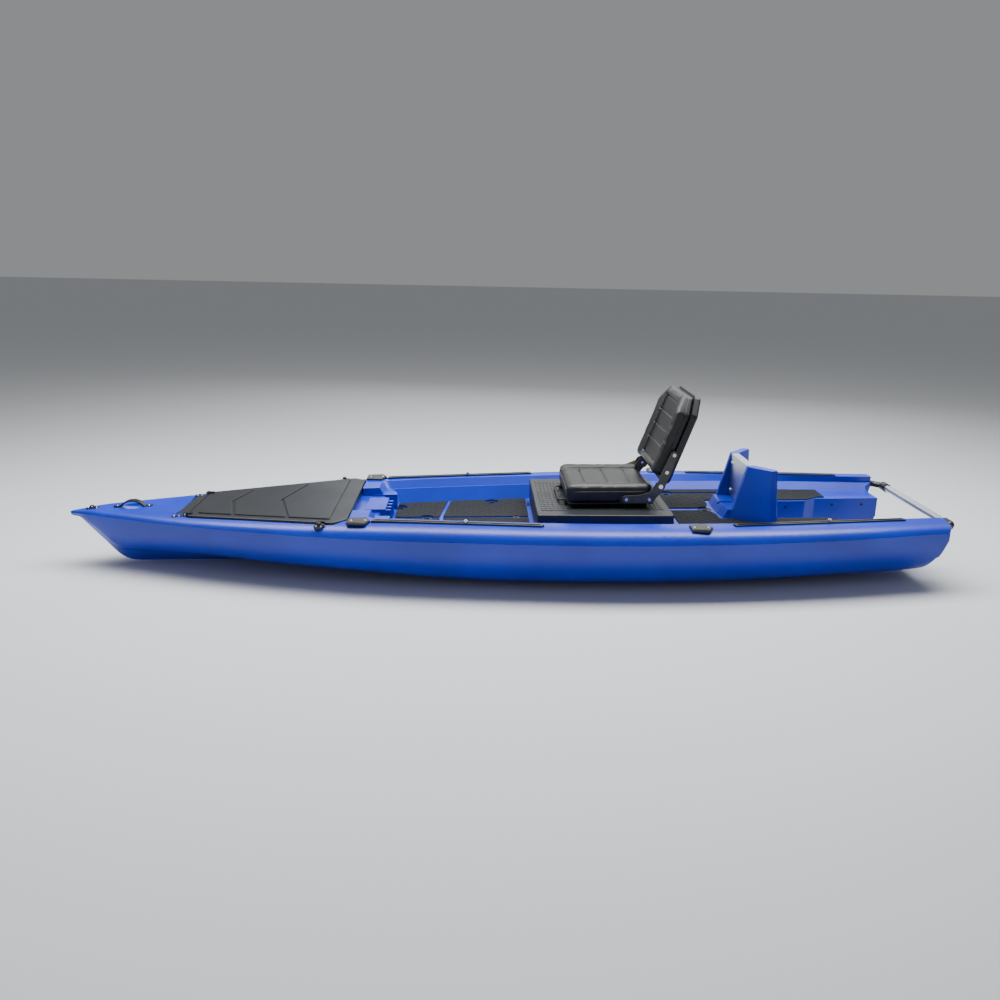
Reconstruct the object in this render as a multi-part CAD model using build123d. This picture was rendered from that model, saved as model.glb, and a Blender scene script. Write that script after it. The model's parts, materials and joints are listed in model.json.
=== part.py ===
from build123d import *
from math import atan2, cos, degrees, hypot, radians, sin
import os

# Rigid sit-on-top boat: a hollow moulded hull with an open stern well, a bow hatch, a seat on a lift-off box,
# a motor mount at the head of the well and a grab bar across the stern.
# Modelled with X measured from the bow tip, +Y to starboard, +Z up, lowest keel at Z = 0, in millimetres.
# The finished nodes are moved so that X = 0 is halfway along the whole boat.

# ---- driving dimensions: the hull -------------------------------------------------------------------
HULL_LENGTH = 4200.0
BEAM = 1190.0
GUNWALE_HEIGHT = 320.0
WALL = 6.0                    # moulded wall thickness
LIP = 9.0                     # overhang of the gunwale over the side
GUNWALE_WIDTH = 140.0         # outer edge to the top of the cockpit wall
FLOOR_INSET = 225.0           # outer edge to the cockpit floor
STERN_FLOOR_INSET = 172.0
LEDGE_INSET = 186.0           # outer edge to the small ledge halfway down the cockpit wall
LEDGE_WIDTH = 9.0
FOOT_FLOOR_Z = 208.0
DECK_Z = 245.0                # rear deck
LEDGE_Z = 278.0
WELL_HALF = 145.0             # stern well, forward part
WELL_HALF_AFT = 188.0
CHANNEL_DEPTH = 15.0
SCUPPER_R = 22.0
SCUPPER_EXIT_R = 29.0
SCUPPER_SINK_R = 35.0

# ---- driving dimensions: fittings -------------------------------------------------------------------
LID_THICK = 34.0
LID_GAP = 5.0
LID_EDGE = 50.0               # outer edge of the hull to the edge of the lid
HINGE_PIN_R = 3.0
RUNNING_GAP = 0.05            # radial clearance of a pin in its bore
PART_GAP = 0.5                # between pieces that move past each other
PAD_THICK = 5.0
BOX_HEIGHT = 117.0
BOX_WALL = 5.0
BOX_SIDE_GAP = 17.0           # seat box to the foot of the cockpit wall
BOX_END_GAP = 6.0             # seat box to the step of the rear deck
TRACK_WIDTH = 30.0
TRACK_HEIGHT = 15.0
TRACK_SINK = 11.0
BAR_R = 17.5
BAR_STANDOFF = 65.0
BAR_Z = 270.0
ELBOW_R = 24.0
HANDLE_LENGTH = 175.0
SEAT_WIDTH = 450.0
SEAT_DEPTH = 430.0
SEAT_AFT = 33.0               # seat centre behind the middle of its box
CUSHION_THICK = 78.0
RAIL_SPACING = 290.0
PLATE_T = 5.0                 # seat brackets
RECLINE_REST = 20.0           # backrest tilt from upright, degrees
BACK_LENGTH = 455.0
PIVOT_R = 6.0
INSERT_R = 7.0
INSERT_BORE_R = 4.0
INSERT_LENGTH = 14.0
CLAMP_HALF = 129.0            # half the width of the motor clamp plate
CLAMP_THICK = 40.0
CLAMP_SHEET = 3.0
CLAMP_TOP_Z = 515.0

# ---- proportions fixed by the moulds: positions drawn on a 4.2 m by 1.19 m boat ----------------------
DRAWN_LENGTH = 4200.0
DRAWN_BEAM = 1190.0


def along(x):
    """A distance from the bow, scaled to this hull's length."""
    return x * HULL_LENGTH / DRAWN_LENGTH


def across(y):
    """A distance from the centre line, scaled to this hull's beam."""
    return y * BEAM / DRAWN_BEAM


def smooth(points):
    """A monotone cubic curve through (position, value) points."""
    xs = [p[0] for p in points]
    ys = [p[1] for p in points]
    slopes = [(ys[i + 1] - ys[i]) / (xs[i + 1] - xs[i]) for i in range(len(xs) - 1)]
    tangents = [slopes[0]]
    for before, after in zip(slopes, slopes[1:]):
        tangents.append(0.0 if before * after <= 0 else 2 * before * after / (before + after))
    tangents.append(slopes[-1])

    def value(x):
        i = max(k for k in range(len(xs) - 1) if k == 0 or xs[k] <= x)
        step = xs[i + 1] - xs[i]
        t = min(max((x - xs[i]) / step, 0.0), 1.0)
        rise = (1 + 2 * t) * (1 - t) ** 2 * ys[i] + t * t * (3 - 2 * t) * ys[i + 1]
        return rise + step * (t * (1 - t) ** 2 * tangents[i] - t * t * (1 - t) * tangents[i + 1])

    return value


beam_curve = smooth([(0, 8), (145, 77), (285, 132), (425, 185), (565, 235), (845, 322), (1125, 397),
                     (1405, 457), (1825, 517), (2385, 575), (2875, 595), (3365, 585), (3785, 552),
                     (4200, 505)])
keel_curve = smooth([(0, 238), (30, 231), (80, 178), (120, 131), (160, 82), (200, 36), (240, 11), (280, 2),
                     (360, 0.5), (565, 0), (2700, 0), (3300, 10), (3800, 26), (4200, 45)])
crease_curve = smooth([(0, 248), (145, 255), (600, 258), (2700, 262), (4200, 278)])
sheer_curve = smooth([(0, -60), (145, -42), (600, -29), (1125, -14), (1500, -2), (1825, 0), (4200, 0)])
flat_curve = smooth([(0, 0.4), (400, 0.42), (1000, 0.5), (1825, 0.59), (4200, 0.6)])
deadrise_curve = smooth([(0, 3), (145, 50), (309, 85), (565, 84), (800, 72), (1100, 57), (1500, 41),
                         (2000, 14), (2900, 8), (4200, 5)])
floor_inset_curve = smooth([(0, FLOOR_INSET - 10), (2900, FLOOR_INSET), (4200, STERN_FLOOR_INSET)])


def drawn(x):
    return x * DRAWN_LENGTH / HULL_LENGTH


def half_beam(x):
    return across(beam_curve(drawn(x)))


def keel_z(x):
    return keel_curve(drawn(x))


def gunwale_z(x):
    return GUNWALE_HEIGHT + sheer_curve(drawn(x))


def bottom_z(x, y):
    """Height of the V bottom at a distance from the centre line."""
    flat = half_beam(x) * flat_curve(drawn(x))
    return keel_z(x) + deadrise_curve(drawn(x)) * min(y / flat, 1.0)


def hull_section(x, inset=0.0):
    """One cross section of the hull, or of its cavity when inset is the wall thickness."""
    b = half_beam(x)
    lip = min(LIP, 0.3 * b)
    crease = crease_curve(drawn(x))
    top = gunwale_z(x) - inset
    keel = keel_z(x) + inset
    flat = b * flat_curve(drawn(x)) - 0.4 * inset
    flat_z = keel + deadrise_curve(drawn(x))
    edge = b - inset
    inner = max(b - GUNWALE_WIDTH, 0.35 * b) - 0.5 * inset
    rise = crease - 4 - flat_z

    def side(s):
        bottom = Edge.make_line((x, 0, keel), (x, s * flat, flat_z))
        bilge = Edge.make_bezier((x, s * flat, flat_z),
                                 (x, s * (flat + 0.62 * (edge - lip - flat)), flat_z + 0.03 * rise),
                                 (x, s * (edge - lip - 0.08 * (edge - flat)), flat_z + 0.34 * rise),
                                 (x, s * (edge - lip), crease - 4))
        overhang = Edge.make_line((x, s * (edge - lip), crease - 4), (x, s * edge, crease + 2))
        crown = Edge.make_bezier((x, s * edge, crease + 2),
                                 (x, s * (edge - 0.10 * (edge - inner)), crease + 0.72 * (top - crease)),
                                 (x, s * (edge - 0.36 * (edge - inner)), top + 1),
                                 (x, s * inner, top - 3))
        return [bottom, bilge, overhang, crown]

    deck = Edge.make_line((x, inner, top - 3), (x, -inner, top - 3))
    port = [Edge.make_line(e @ 1, e @ 0) if e.geom_type == GeomType.LINE else e.reversed()
            for e in side(-1)[::-1]]
    return Face(Wire(side(1) + [deck] + port))


STATIONS_FORE = [30, 77, 120, 160]
STATIONS = [200, 240, 309, 400, 565, 845, 1125, 1405, 1825, 2385, 2875, 3365, 3785, 4200]


def hull_loft(stations, inset=0.0):
    return loft([hull_section(along(x), inset) for x in stations])


def block(x0, x1, y0, y1, z0, z1):
    return Pos((x0 + x1) / 2, (y0 + y1) / 2, (z0 + z1) / 2) * Box(x1 - x0, y1 - y0, z1 - z0)


def post(x, y, z0, z1, r):
    return Pos(x, y, (z0 + z1) / 2) * Cylinder(r, z1 - z0)


def cone(x, y, z0, z1, r0, r1):
    return Pos(x, y, (z0 + z1) / 2) * Cone(r0, r1, z1 - z0)


def rod(start, end, r):
    """A round bar between two points."""
    axis = Vector(*end) - Vector(*start)
    centre = (Vector(*start) + Vector(*end)) * 0.5
    return Plane(origin=centre, z_dir=axis).location * Cylinder(r, axis.length)


def both(shape):
    """A shape and its mirror image across the centre line."""
    return Part() + shape + mirror(shape, about=Plane.XZ)


def port_of(shape):
    return mirror(shape, about=Plane.XZ)


def plan(points, z, radius=0.0):
    """A flat outline at height z from (x, y) points, with rounded corners."""
    face = make_face(Polyline(*[(px, py, 0) for px, py in points], close=True))
    if radius:
        face = fillet(face.vertices(), radius)
    return Pos(0, 0, z) * face


def slab(points, z0, z1, radius=0.0):
    return extrude(plan(points, z0, radius), z1 - z0)


def mirrored(points):
    """Starboard outline points, closed by their mirror images."""
    return points + [(x, -y) for x, y in points[::-1]]


def tub_outline(x0, x1, inset, z, grow=0.0, corner=45.0):
    """The plan of a cockpit level: it follows the side of the hull at a given inset."""
    spots = [x0 - grow + (x1 - x0 + 2 * grow) * i / 5 for i in range(6)]
    side = [(x, half_beam(x) - inset(x) + grow) for x in spots]
    star = Spline(*[(x, y, 0) for x, y in side])
    port = Spline(*[(x, -y, 0) for x, y in side[::-1]])
    face = make_face([star, Line(star @ 1, port @ 0), port, Line(port @ 1, star @ 0)])
    return Pos(0, 0, z) * fillet(face.vertices(), corner)


def tub(x0, x1, rake0, rake1, inset_low, inset_high, z0, z1, grow=0.0, corner=45.0):
    """A tapering cockpit cutter between a lower and an upper outline."""
    low = tub_outline(x0, x1, inset_low, z0, grow, corner)
    high = tub_outline(x0 - rake0, x1 + rake1, inset_high, z1, grow, corner)
    return loft([low, high], ruled=True)


# ---- stations of the main features -------------------------------------------------------------------
FOOT_FRONT = along(1514)
FOOT_FRONT_TOP = along(1440)
BOX_FRONT = along(2235)
BOX_REAR = along(2888)
WELL_FRONT = along(3330)
WELL_STEP = along(3725)
WELL_STEP_END = along(3795)
DECK_REAR = along(4160)
LID_FRONT = along(600)
LID_REAR = along(1358)
LID_SHOULDER = along(1300)
LID_SLOPE = 1.75              # degrees, rising aft
LID_FRONT_Z = 294.0
TOP_Z = GUNWALE_HEIGHT + 60   # above everything that is cut
SCUPPERS = [(along(1555), across(172)), (along(1555), -across(172)), (along(1700), 0),
            (along(2030), across(270)), (along(2030), -across(270))]
DECK_SCUPPERS = [(along(2990), across(295)), (along(2990), -across(295)), (along(3130), 0),
                 (along(3425), across(297)), (along(3425), -across(297))]
HATCH_SCUPPER = (along(1215), 0)
HATCH_FLOOR_Z = 150.0


def floor_inset(x):
    return floor_inset_curve(drawn(x))


def ledge_low(x):
    return floor_inset(x) - (FLOOR_INSET - LEDGE_INSET)


def ledge_high(x):
    return ledge_low(x) - LEDGE_WIDTH


def top_inset(x):
    return min(GUNWALE_WIDTH, floor_inset(x) - 42)


SHELF_HALF = 188.0
SHELF_Z = 272.0


def cockpit(grow=0.0):
    """Foot well, box recess and rear deck with a ledge halfway up the wall, and a shelf behind the hatch."""
    z0 = FOOT_FLOOR_Z - grow
    shelf = block(LID_REAR - grow, FOOT_FRONT + grow, -SHELF_HALF - grow, SHELF_HALF + grow,
                  SHELF_Z - grow, TOP_Z)
    low = tub(FOOT_FRONT, BOX_REAR + BOX_END_GAP, 40, 0, floor_inset, ledge_low, z0, LEDGE_Z, grow)
    high = tub(FOOT_FRONT - 46, BOX_REAR + BOX_END_GAP, 28, 0, ledge_high, top_inset, LEDGE_Z - grow,
               GUNWALE_HEIGHT + 8, grow)
    rear_low = tub(BOX_REAR - 60, HULL_LENGTH + 60, 0, 0, floor_inset, ledge_low, DECK_Z - grow,
                   LEDGE_Z + 6, grow, 8)
    rear_high = tub(BOX_REAR - 60, HULL_LENGTH + 60, 0, 0, ledge_high, top_inset, LEDGE_Z + 6 - grow,
                    GUNWALE_HEIGHT + 8, grow, 8)
    return low + high + rear_low + rear_high + shelf


def stern_well(grow=0.0):
    points = [(WELL_FRONT - grow, WELL_HALF + grow), (WELL_STEP + grow * 0.3, WELL_HALF + grow),
              (WELL_STEP_END + grow * 0.3, WELL_HALF_AFT + grow),
              (HULL_LENGTH + 90, WELL_HALF_AFT + 6 + grow)]
    return slab(mirrored(points), -60, TOP_Z, 22)


def lid_outline(grow=0.0):
    """The lid in plan: it widens with the hull and is chamfered at its after corners."""
    front = half_beam(LID_FRONT) - LID_EDGE
    rear = half_beam(LID_SHOULDER) - LID_EDGE - 4
    return mirrored([(LID_FRONT - grow, front + grow), (LID_SHOULDER, rear + grow),
                     (LID_REAR + grow, rear - 46 + grow)])


def lid_frame(shape):
    """Tilts a shape drawn level at LID_FRONT_Z to the slope of the hatch."""
    hinge = Pos(LID_FRONT, 0, LID_FRONT_Z)
    return hinge * Rot(0, -LID_SLOPE, 0) * hinge.inverse() * shape


def hatch_recess(grow=0.0):
    seat = lid_frame(slab(lid_outline(LID_GAP + grow), LID_FRONT_Z - LID_THICK - 2 - grow, TOP_Z + 40, 26))
    front = along(650)
    rear = along(1290)
    narrow = half_beam(front) - 92
    wide = half_beam(rear) - 112
    low = plan(mirrored([(front + 30 - grow, narrow - 30 + grow), (rear - 30 + grow, wide - 60 + grow)]),
               HATCH_FLOOR_Z - grow, 30)
    high = plan(mirrored([(front - grow, narrow + grow), (rear + grow, wide + grow)]), LID_FRONT_Z, 30)
    return seat + loft([low, high], ruled=True)


def scupper_cutters(grow=0.0):
    shape = Part()
    for spots, floor in ((SCUPPERS, FOOT_FLOOR_Z), (DECK_SCUPPERS, DECK_Z), ([HATCH_SCUPPER], HATCH_FLOOR_Z)):
        for x, y in spots:
            shape += post(x, y, -20, floor + 10, SCUPPER_R + grow)
            shape += cone(x, y, -20, keel_z(x) + 44, SCUPPER_EXIT_R + 4 + grow, SCUPPER_R + grow)
            shape += post(x, y, floor - 7 - grow, floor + 10, SCUPPER_SINK_R + grow)
    return shape


def bottom_channels(grow=0.0):
    """Two side channels and a centre channel, sunk into the bottom."""
    shape = Part()
    stations = [1160, 1500, 2300, 2900, 3300, 3700, 4000, 4215]
    inner = smooth([(1160, 225), (1500, 240), (2900, 240), (4200, 285)])
    outer = smooth([(1160, 232), (1500, 312), (2900, 315), (4200, 350)])

    def face(x, y0, y1):
        rise = CHANNEL_DEPTH + grow
        z0 = bottom_z(along(x), abs(y0)) + rise
        z1 = bottom_z(along(x), abs(y1)) + rise
        return Face(Wire.make_polygon([(along(x), y0, -40), (along(x), y1, -40), (along(x), y1, z1),
                                       (along(x), y0, z0)]))

    side = loft([face(x, across(inner(x)) - grow, across(outer(x)) + grow) for x in stations], ruled=True)
    shape += both(side)
    shape += loft([face(x, -38 - grow, 38 + grow) for x in (1050, 1400, 1990)], ruled=True)
    shape += loft([face(x, -w - grow, w + grow) for x, w in ((2260, 38), (2700, 38), (3010, 12))], ruled=True)
    return shape


COVER_FRONT = along(1978)
COVER_REAR = along(2270)
COVER_HALF = 95.0
COVER_THICK = 6.0
POCKET_TOP = 62.0
CABLE_X = along(2150)


def cover_outline(grow=0.0):
    r = COVER_HALF + grow
    box = block(COVER_FRONT + COVER_HALF, COVER_REAR + grow, -r, r, 0, 1)
    return box + post(COVER_FRONT + COVER_HALF, 0, 0, 1, r)


def transducer_pocket(grow=0.0):
    seat = Pos(0, 0, 2) * scale(cover_outline(1 + grow), by=(1, 1, COVER_THICK + grow))
    room = block(COVER_FRONT + 40 - grow, COVER_REAR - 40 + grow, -60 - grow, 60 + grow, -5,
                 POCKET_TOP + grow)
    mouth = Pos(0, 0, -6) * scale(cover_outline(1 + grow), by=(1, 1, 9))
    cable = post(CABLE_X, 0, POCKET_TOP - 5, FOOT_FLOOR_Z + 10, 12 + grow)
    return seat + room + mouth + cable


def transom_trim(grow=0.0):
    """The slanting stern face: the bottom ends forward of the deck."""
    foot = 82.0
    side = Polyline((HULL_LENGTH - foot - grow, -300, -50),
                    (HULL_LENGTH - foot - grow, -300, keel_z(HULL_LENGTH)),
                    (HULL_LENGTH - 42 - grow, -300, 140), (HULL_LENGTH - 30 - grow, -300, 146),
                    (HULL_LENGTH - grow, -300, 262), (HULL_LENGTH - grow, -300, TOP_Z),
                    (HULL_LENGTH + 200, -300, TOP_Z), (HULL_LENGTH + 200, -300, -50), close=True)
    wedge = Pos(0, -BEAM / 2, 0) * extrude(make_face(side), -BEAM * 2, dir=(0, -1, 0))
    return wedge


def stern_corners(grow=0.0):
    """Rounds the after corners of the two sponsons in plan and drops the deck edge short of the gunwales."""
    r = 40.0
    x = HULL_LENGTH - r
    y = half_beam(x) - r
    corner = block(x, HULL_LENGTH + 50, y, y + 200, -60, TOP_Z) - post(x, y, -60, TOP_Z, r - grow)
    step = slab(mirrored([(DECK_REAR - grow, 0.1), (DECK_REAR - grow, half_beam(x) - 150),
                          (HULL_LENGTH + 60, half_beam(x) - 110), (HULL_LENGTH + 60, 0.1)]), -60, TOP_Z, 12)
    return both(corner) + step


# ---- pockets for what sits on the gunwales ------------------------------------------------------------
TRACK_FLOOR_Z = GUNWALE_HEIGHT - TRACK_SINK
TRACKS = {"fore": ((along(1475), half_beam(along(1475)) - 98), (along(2250), half_beam(along(2250)) - 102)),
          "aft": ((along(3140), half_beam(along(3140)) - 111), (along(3995), half_beam(along(3995)) - 118))}
PLATE_SPOTS = {"fore": (along(1416), half_beam(along(1416)) - 80),
               "aft": (along(2975), half_beam(along(2975)) - 79)}
PLATE_Z = GUNWALE_HEIGHT - 6
LATCH_X = along(1240)
LATCH_Y = half_beam(LATCH_X) - 34
LATCH_R = 22.0
LATCH_Z = gunwale_z(LATCH_X) - 18
HANDLE_X = along(290)
HANDLE_PAD_Z = gunwale_z(HANDLE_X) - 6
EYE_X = along(100)
EYE_Z = gunwale_z(EYE_X) - 5
BRACKET_X = LID_FRONT - 42
BRACKET_Y = half_beam(LID_FRONT) - 72
BRACKET_Z = gunwale_z(BRACKET_X) - 8


def on_track(which, start, length):
    """Turns a shape drawn along +X from the origin so that it runs along a starboard gear track."""
    (x0, y0), (x1, y1) = TRACKS[which]
    turn = degrees(atan2(y1 - y0, x1 - x0))
    return Pos(x0, y0, 0) * Rot(0, 0, turn) * Pos(start, 0, 0)


def track_length(which):
    (x0, y0), (x1, y1) = TRACKS[which]
    return hypot(x1 - x0, y1 - y0)


def plate_outline(which, grow=0.0):
    x, y = PLATE_SPOTS[which]
    a = 53 + grow
    b = 47 + grow
    points = [(x - a, y - 0.75 * b), (x + 0.55 * a, y - b), (x + a, y), (x + 0.55 * a, y + b),
              (x - a, y + 0.75 * b)]
    return points


def fitting_pockets(grow=0.0):
    shape = Part()
    for which in TRACKS:
        length = track_length(which)
        half = TRACK_WIDTH / 2 + 1 + grow
        pocket = block(-6 - grow, length + 6 + grow, -half, half, TRACK_FLOOR_Z - grow, TOP_Z)
        shape += both(on_track(which, 0, length) * pocket)
    for which in PLATE_SPOTS:
        shape += both(slab(plate_outline(which, 1 + grow), PLATE_Z - grow, TOP_Z, 10))
    shape += both(post(LATCH_X, LATCH_Y, LATCH_Z - grow, TOP_Z, LATCH_R + 0.5 + grow))
    half_l = HANDLE_LENGTH / 2
    pad = [(HANDLE_X - half_l - 2 - grow, 17 + grow), (HANDLE_X + half_l + 2 + grow, 17 + grow)]
    shape += slab(mirrored(pad), HANDLE_PAD_Z - grow, TOP_Z, 6)
    shape += Pos(HANDLE_X, 0, HANDLE_PAD_Z + 6) * scale(Sphere(1), by=(62 + grow, 47 + grow, 30 + grow))
    shape += block(EYE_X - 29 - grow, EYE_X + 29 + grow, -16 - grow, 16 + grow, EYE_Z - grow, TOP_Z)
    shape += both(block(BRACKET_X - 30 - grow, LID_FRONT, BRACKET_Y - 13 - grow, BRACKET_Y + 13 + grow,
                        BRACKET_Z - grow, TOP_Z))
    shape += slab(mirrored(strip_outline(1 + grow)), STRIP_Z - grow, TOP_Z)
    shape += Pos(STRIP_FRONT, 0, DISH_R + gunwale_z(STRIP_FRONT) - 3 - DISH_DEPTH) * Sphere(DISH_R + grow)
    return shape


STRIP_FRONT = LID_FRONT - 62
STRIP_Z = gunwale_z(STRIP_FRONT) - 12
STRIP_SLOPE = 10.0            # degrees, falling to the bow
DISH_R = 950.0                # shallow round dish in the deck before the hatch
DISH_DEPTH = 8.0


def strip_outline(grow=0.0):
    wide = half_beam(LID_FRONT) - 95
    return [(STRIP_FRONT - grow, wide - 4 + grow), (LID_FRONT - 1.5 + grow, wide + 4 + grow)]


INSERTS = [(along(x), s * (WELL_HALF if x < 3725 else WELL_HALF_AFT + 2), DECK_Z - 35, s)
           for x in (3430, 3620, 3900, 4070) for s in (1, -1)]
FRONT_INSERTS = [(WELL_FRONT, s * 62, DECK_Z - 35) for s in (1, -1)]


def insert_rods(r, extra=0.0):
    """Rods at every threaded insert of the stern well, from just inside the well into the hull."""
    shape = Part()
    for x, y, z, s in INSERTS:
        shape += rod((x, y - s * 8, z), (x, y + s * (INSERT_LENGTH + extra), z), r)
    for x, y, z in FRONT_INSERTS:
        shape += rod((x + 8, y, z), (x - INSERT_LENGTH - extra, y, z), r)
    return shape


def insert_pockets(grow=0.0):
    return insert_rods(INSERT_R + grow, grow)


def foot_blocks():
    """Moulded foot rests at the head of the foot well: a centre block with ribs and two shoulders."""
    top = 300.0
    x0 = FOOT_FRONT_TOP - 30
    ribs = Part()
    for i in range(4):
        y = -75 + 50 * i
        ribs += block(x0, FOOT_FRONT + 14, y - 9, y + 9, FOOT_FLOOR_Z - 4, top - 22)
    centre = block(x0, FOOT_FRONT - 8, -100, 100, FOOT_FLOOR_Z - 4, top - 12)
    shoulder_y = half_beam(FOOT_FRONT_TOP) - GUNWALE_WIDTH - 110
    shoulder = slab([(x0, 180), (FOOT_FRONT + 22, 180), (FOOT_FRONT + 22, 215),
                     (FOOT_FRONT_TOP + 20, shoulder_y + 150), (x0, shoulder_y + 150)],
                    FOOT_FLOOR_Z - 4, top - 20)
    return centre + ribs + both(shoulder)


def make_hull():
    outer = hull_loft([0] + STATIONS_FORE + STATIONS)
    cavity = hull_loft(STATIONS_FORE[-2:] + STATIONS, WALL)
    cutters = (cockpit, stern_well, hatch_recess, scupper_cutters, bottom_channels, transducer_pocket,
               transom_trim, stern_corners, fitting_pockets, insert_pockets)
    hull = outer
    for cutter in cutters:
        hull = hull - cutter()
        if cutter is cockpit:
            hull = hull + (foot_blocks() & outer)
        cavity = cavity - cutter(WALL)
    return hull - cavity


# ---- hatch -------------------------------------------------------------------------------------------
HINGE_X = LID_FRONT - 8
HINGE_Z = BRACKET_Z + 14
LATCH_BASE = 12.0
TONGUE_REACH = 28.0
PANEL_RISE = 7.0
GASKET_T = 1.9


def lid_half(x):
    front = half_beam(LID_FRONT) - LID_EDGE
    rear = half_beam(LID_SHOULDER) - LID_EDGE - 4
    return front + (rear - front) * (x - LID_FRONT) / (LID_SHOULDER - LID_FRONT)


def lid_panels():
    """Three raised panels, parted by two grooves that point to the bow."""
    margin = 41.0
    groove = 13.0
    ends = [(along(640), along(640)), (along(820), along(762)), (along(1080), along(996)),
            (along(1286), along(1286))]
    shape = Part()
    for (x0, apex0), (x1, apex1) in zip(ends, ends[1:]):
        x0, apex0 = x0 + groove / 2, apex0 + groove / 2
        x1, apex1 = x1 - groove / 2, apex1 - groove / 2
        y0, y1 = lid_half(x0) - margin, lid_half(x1) - margin
        points = [(apex0, 0), (x0, y0), (x1, y1), (apex1, 0), (x1, -y1), (x0, -y0)]
        if apex0 == x0:
            points.remove((apex0, 0))
        if apex1 == x1:
            points.remove((apex1, 0))
        panel = slab(points, LID_FRONT_Z - 1, LID_FRONT_Z + PANEL_RISE, 7)
        shape += chamfer(panel.faces().sort_by(Axis.Z)[-1].edges(), 3)
    return shape


def make_hatch_lid():
    skirt = 14.0
    plate = slab(lid_outline(), LID_FRONT_Z - LID_THICK, LID_FRONT_Z, 22)
    plate = fillet(plate.faces().sort_by(Axis.Z)[-1].edges(), 5)
    inside = slab(lid_outline(-skirt), LID_FRONT_Z - LID_THICK - 1, LID_FRONT_Z - 5, 12)
    lid = lid_frame(plate + lid_panels() - inside)
    lug = rod((HINGE_X, BRACKET_Y - 6, HINGE_Z), (HINGE_X, BRACKET_Y + 6, HINGE_Z), 7)
    lug += block(HINGE_X, LID_FRONT + 22, BRACKET_Y - 6, BRACKET_Y + 6, HINGE_Z - 6, HINGE_Z + 6)
    lug += block(LID_FRONT + 3, LID_FRONT + 22, BRACKET_Y - 6, BRACKET_Y + 6, LID_FRONT_Z - 3, HINGE_Z)
    lug -= rod((HINGE_X, BRACKET_Y - 9, HINGE_Z), (HINGE_X, BRACKET_Y + 9, HINGE_Z),
               HINGE_PIN_R + RUNNING_GAP)
    notch = post(LATCH_X, LATCH_Y, LATCH_Z - 60, TOP_Z, LATCH_R + 4)
    notch += post(LATCH_X, LATCH_Y, LATCH_Z + LATCH_BASE, TOP_Z, TONGUE_REACH + 4)
    return lid + both(lug) - both(notch)


def make_hatch_gasket():
    z = LID_FRONT_Z - LID_THICK - 2
    ring = slab(lid_outline(-2), z, z + GASKET_T, 20) - slab(lid_outline(-15), z - 1, z + 3, 12)
    return lid_frame(ring)


def make_hinge_brackets():
    x0 = BRACKET_X - 28
    base = block(x0, LID_FRONT - 6, BRACKET_Y - 12, BRACKET_Y + 12, BRACKET_Z, BRACKET_Z + 4)
    ears = block(HINGE_X - 8, HINGE_X + 6, BRACKET_Y - 12, BRACKET_Y - 6.5, BRACKET_Z, HINGE_Z + 7)
    ears += block(HINGE_X - 8, HINGE_X + 6, BRACKET_Y + 6.5, BRACKET_Y + 12, BRACKET_Z, HINGE_Z + 7)
    ears = fillet(ears.edges().filter_by(Axis.Y).group_by(Axis.Z)[-1], 6)
    bore = rod((HINGE_X, BRACKET_Y - 20, HINGE_Z), (HINGE_X, BRACKET_Y + 20, HINGE_Z), HINGE_PIN_R)
    return both(base + ears - bore)


def make_hinge_pins():
    return both(rod((HINGE_X, BRACKET_Y - 14, HINGE_Z), (HINGE_X, BRACKET_Y + 14, HINGE_Z), HINGE_PIN_R))


def make_front_strip():
    """A ramp from the deck up to the front edge of the lid."""
    body = slab(mirrored(strip_outline()), STRIP_Z, LID_FRONT_Z)
    above = Pos(STRIP_FRONT, 0, STRIP_Z + 5) * Rot(0, -STRIP_SLOPE, 0) * Pos(0, 0, 50) * Box(400, 900, 100)
    return body - above


def make_latch_bases():
    return both(chamfer(post(LATCH_X, LATCH_Y, LATCH_Z, LATCH_Z + LATCH_BASE, LATCH_R)
                        .edges().group_by(Axis.Z)[-1], 2))


def make_latch_knob():
    """A turning knob, unlocked, its tongue along the gunwale: a quarter turn puts it over the lid's rim."""
    z = LATCH_Z + LATCH_BASE + PART_GAP
    tongue = block(LATCH_X, LATCH_X + TONGUE_REACH - 7, LATCH_Y - 7, LATCH_Y + 7, z, z + 5)
    tongue += post(LATCH_X + TONGUE_REACH - 7, LATCH_Y, z, z + 5, 7)
    knob = chamfer(post(LATCH_X, LATCH_Y, z, z + 14, 10).edges().group_by(Axis.Z)[-1], 2)
    return tongue + knob


# ---- deck fittings -----------------------------------------------------------------------------------
def screw(x, y, z, r=5.0, height=3.0):
    """A domed screw head standing on a face."""
    return chamfer(post(x, y, z, z + height, r).edges().group_by(Axis.Z)[-1], height * 0.6)


PLATE_HEIGHT = 12.0
PLATE_SCREWS = (-34, 30)      # their heads are sunk, so that an accessory lies flat
HANDLE_T = 7.0
EYE_BASE = 5.0


def make_deck_screws():
    shape = Part()
    for dx in (-20, 2):
        shape += both(screw(BRACKET_X + dx, BRACKET_Y, BRACKET_Z + 4, 4.5))
    for dx in (-11, 11):
        shape += both(screw(LATCH_X + dx, LATCH_Y + 14, LATCH_Z + LATCH_BASE, 3.5, 2))
    for x, y in PLATE_SPOTS.values():
        for dx in PLATE_SCREWS:
            shape += both(screw(x + dx, y, PLATE_Z + PLATE_HEIGHT - 3.2, 6.5))
    for dx in (-HANDLE_LENGTH / 2 + 14, HANDLE_LENGTH / 2 - 14):
        shape += screw(HANDLE_X + dx, 0, HANDLE_PAD_Z + HANDLE_T, 5.5)
    for dx in (-20, 20):
        shape += screw(EYE_X + dx, 0, EYE_Z + EYE_BASE, 4)
    return shape


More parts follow.
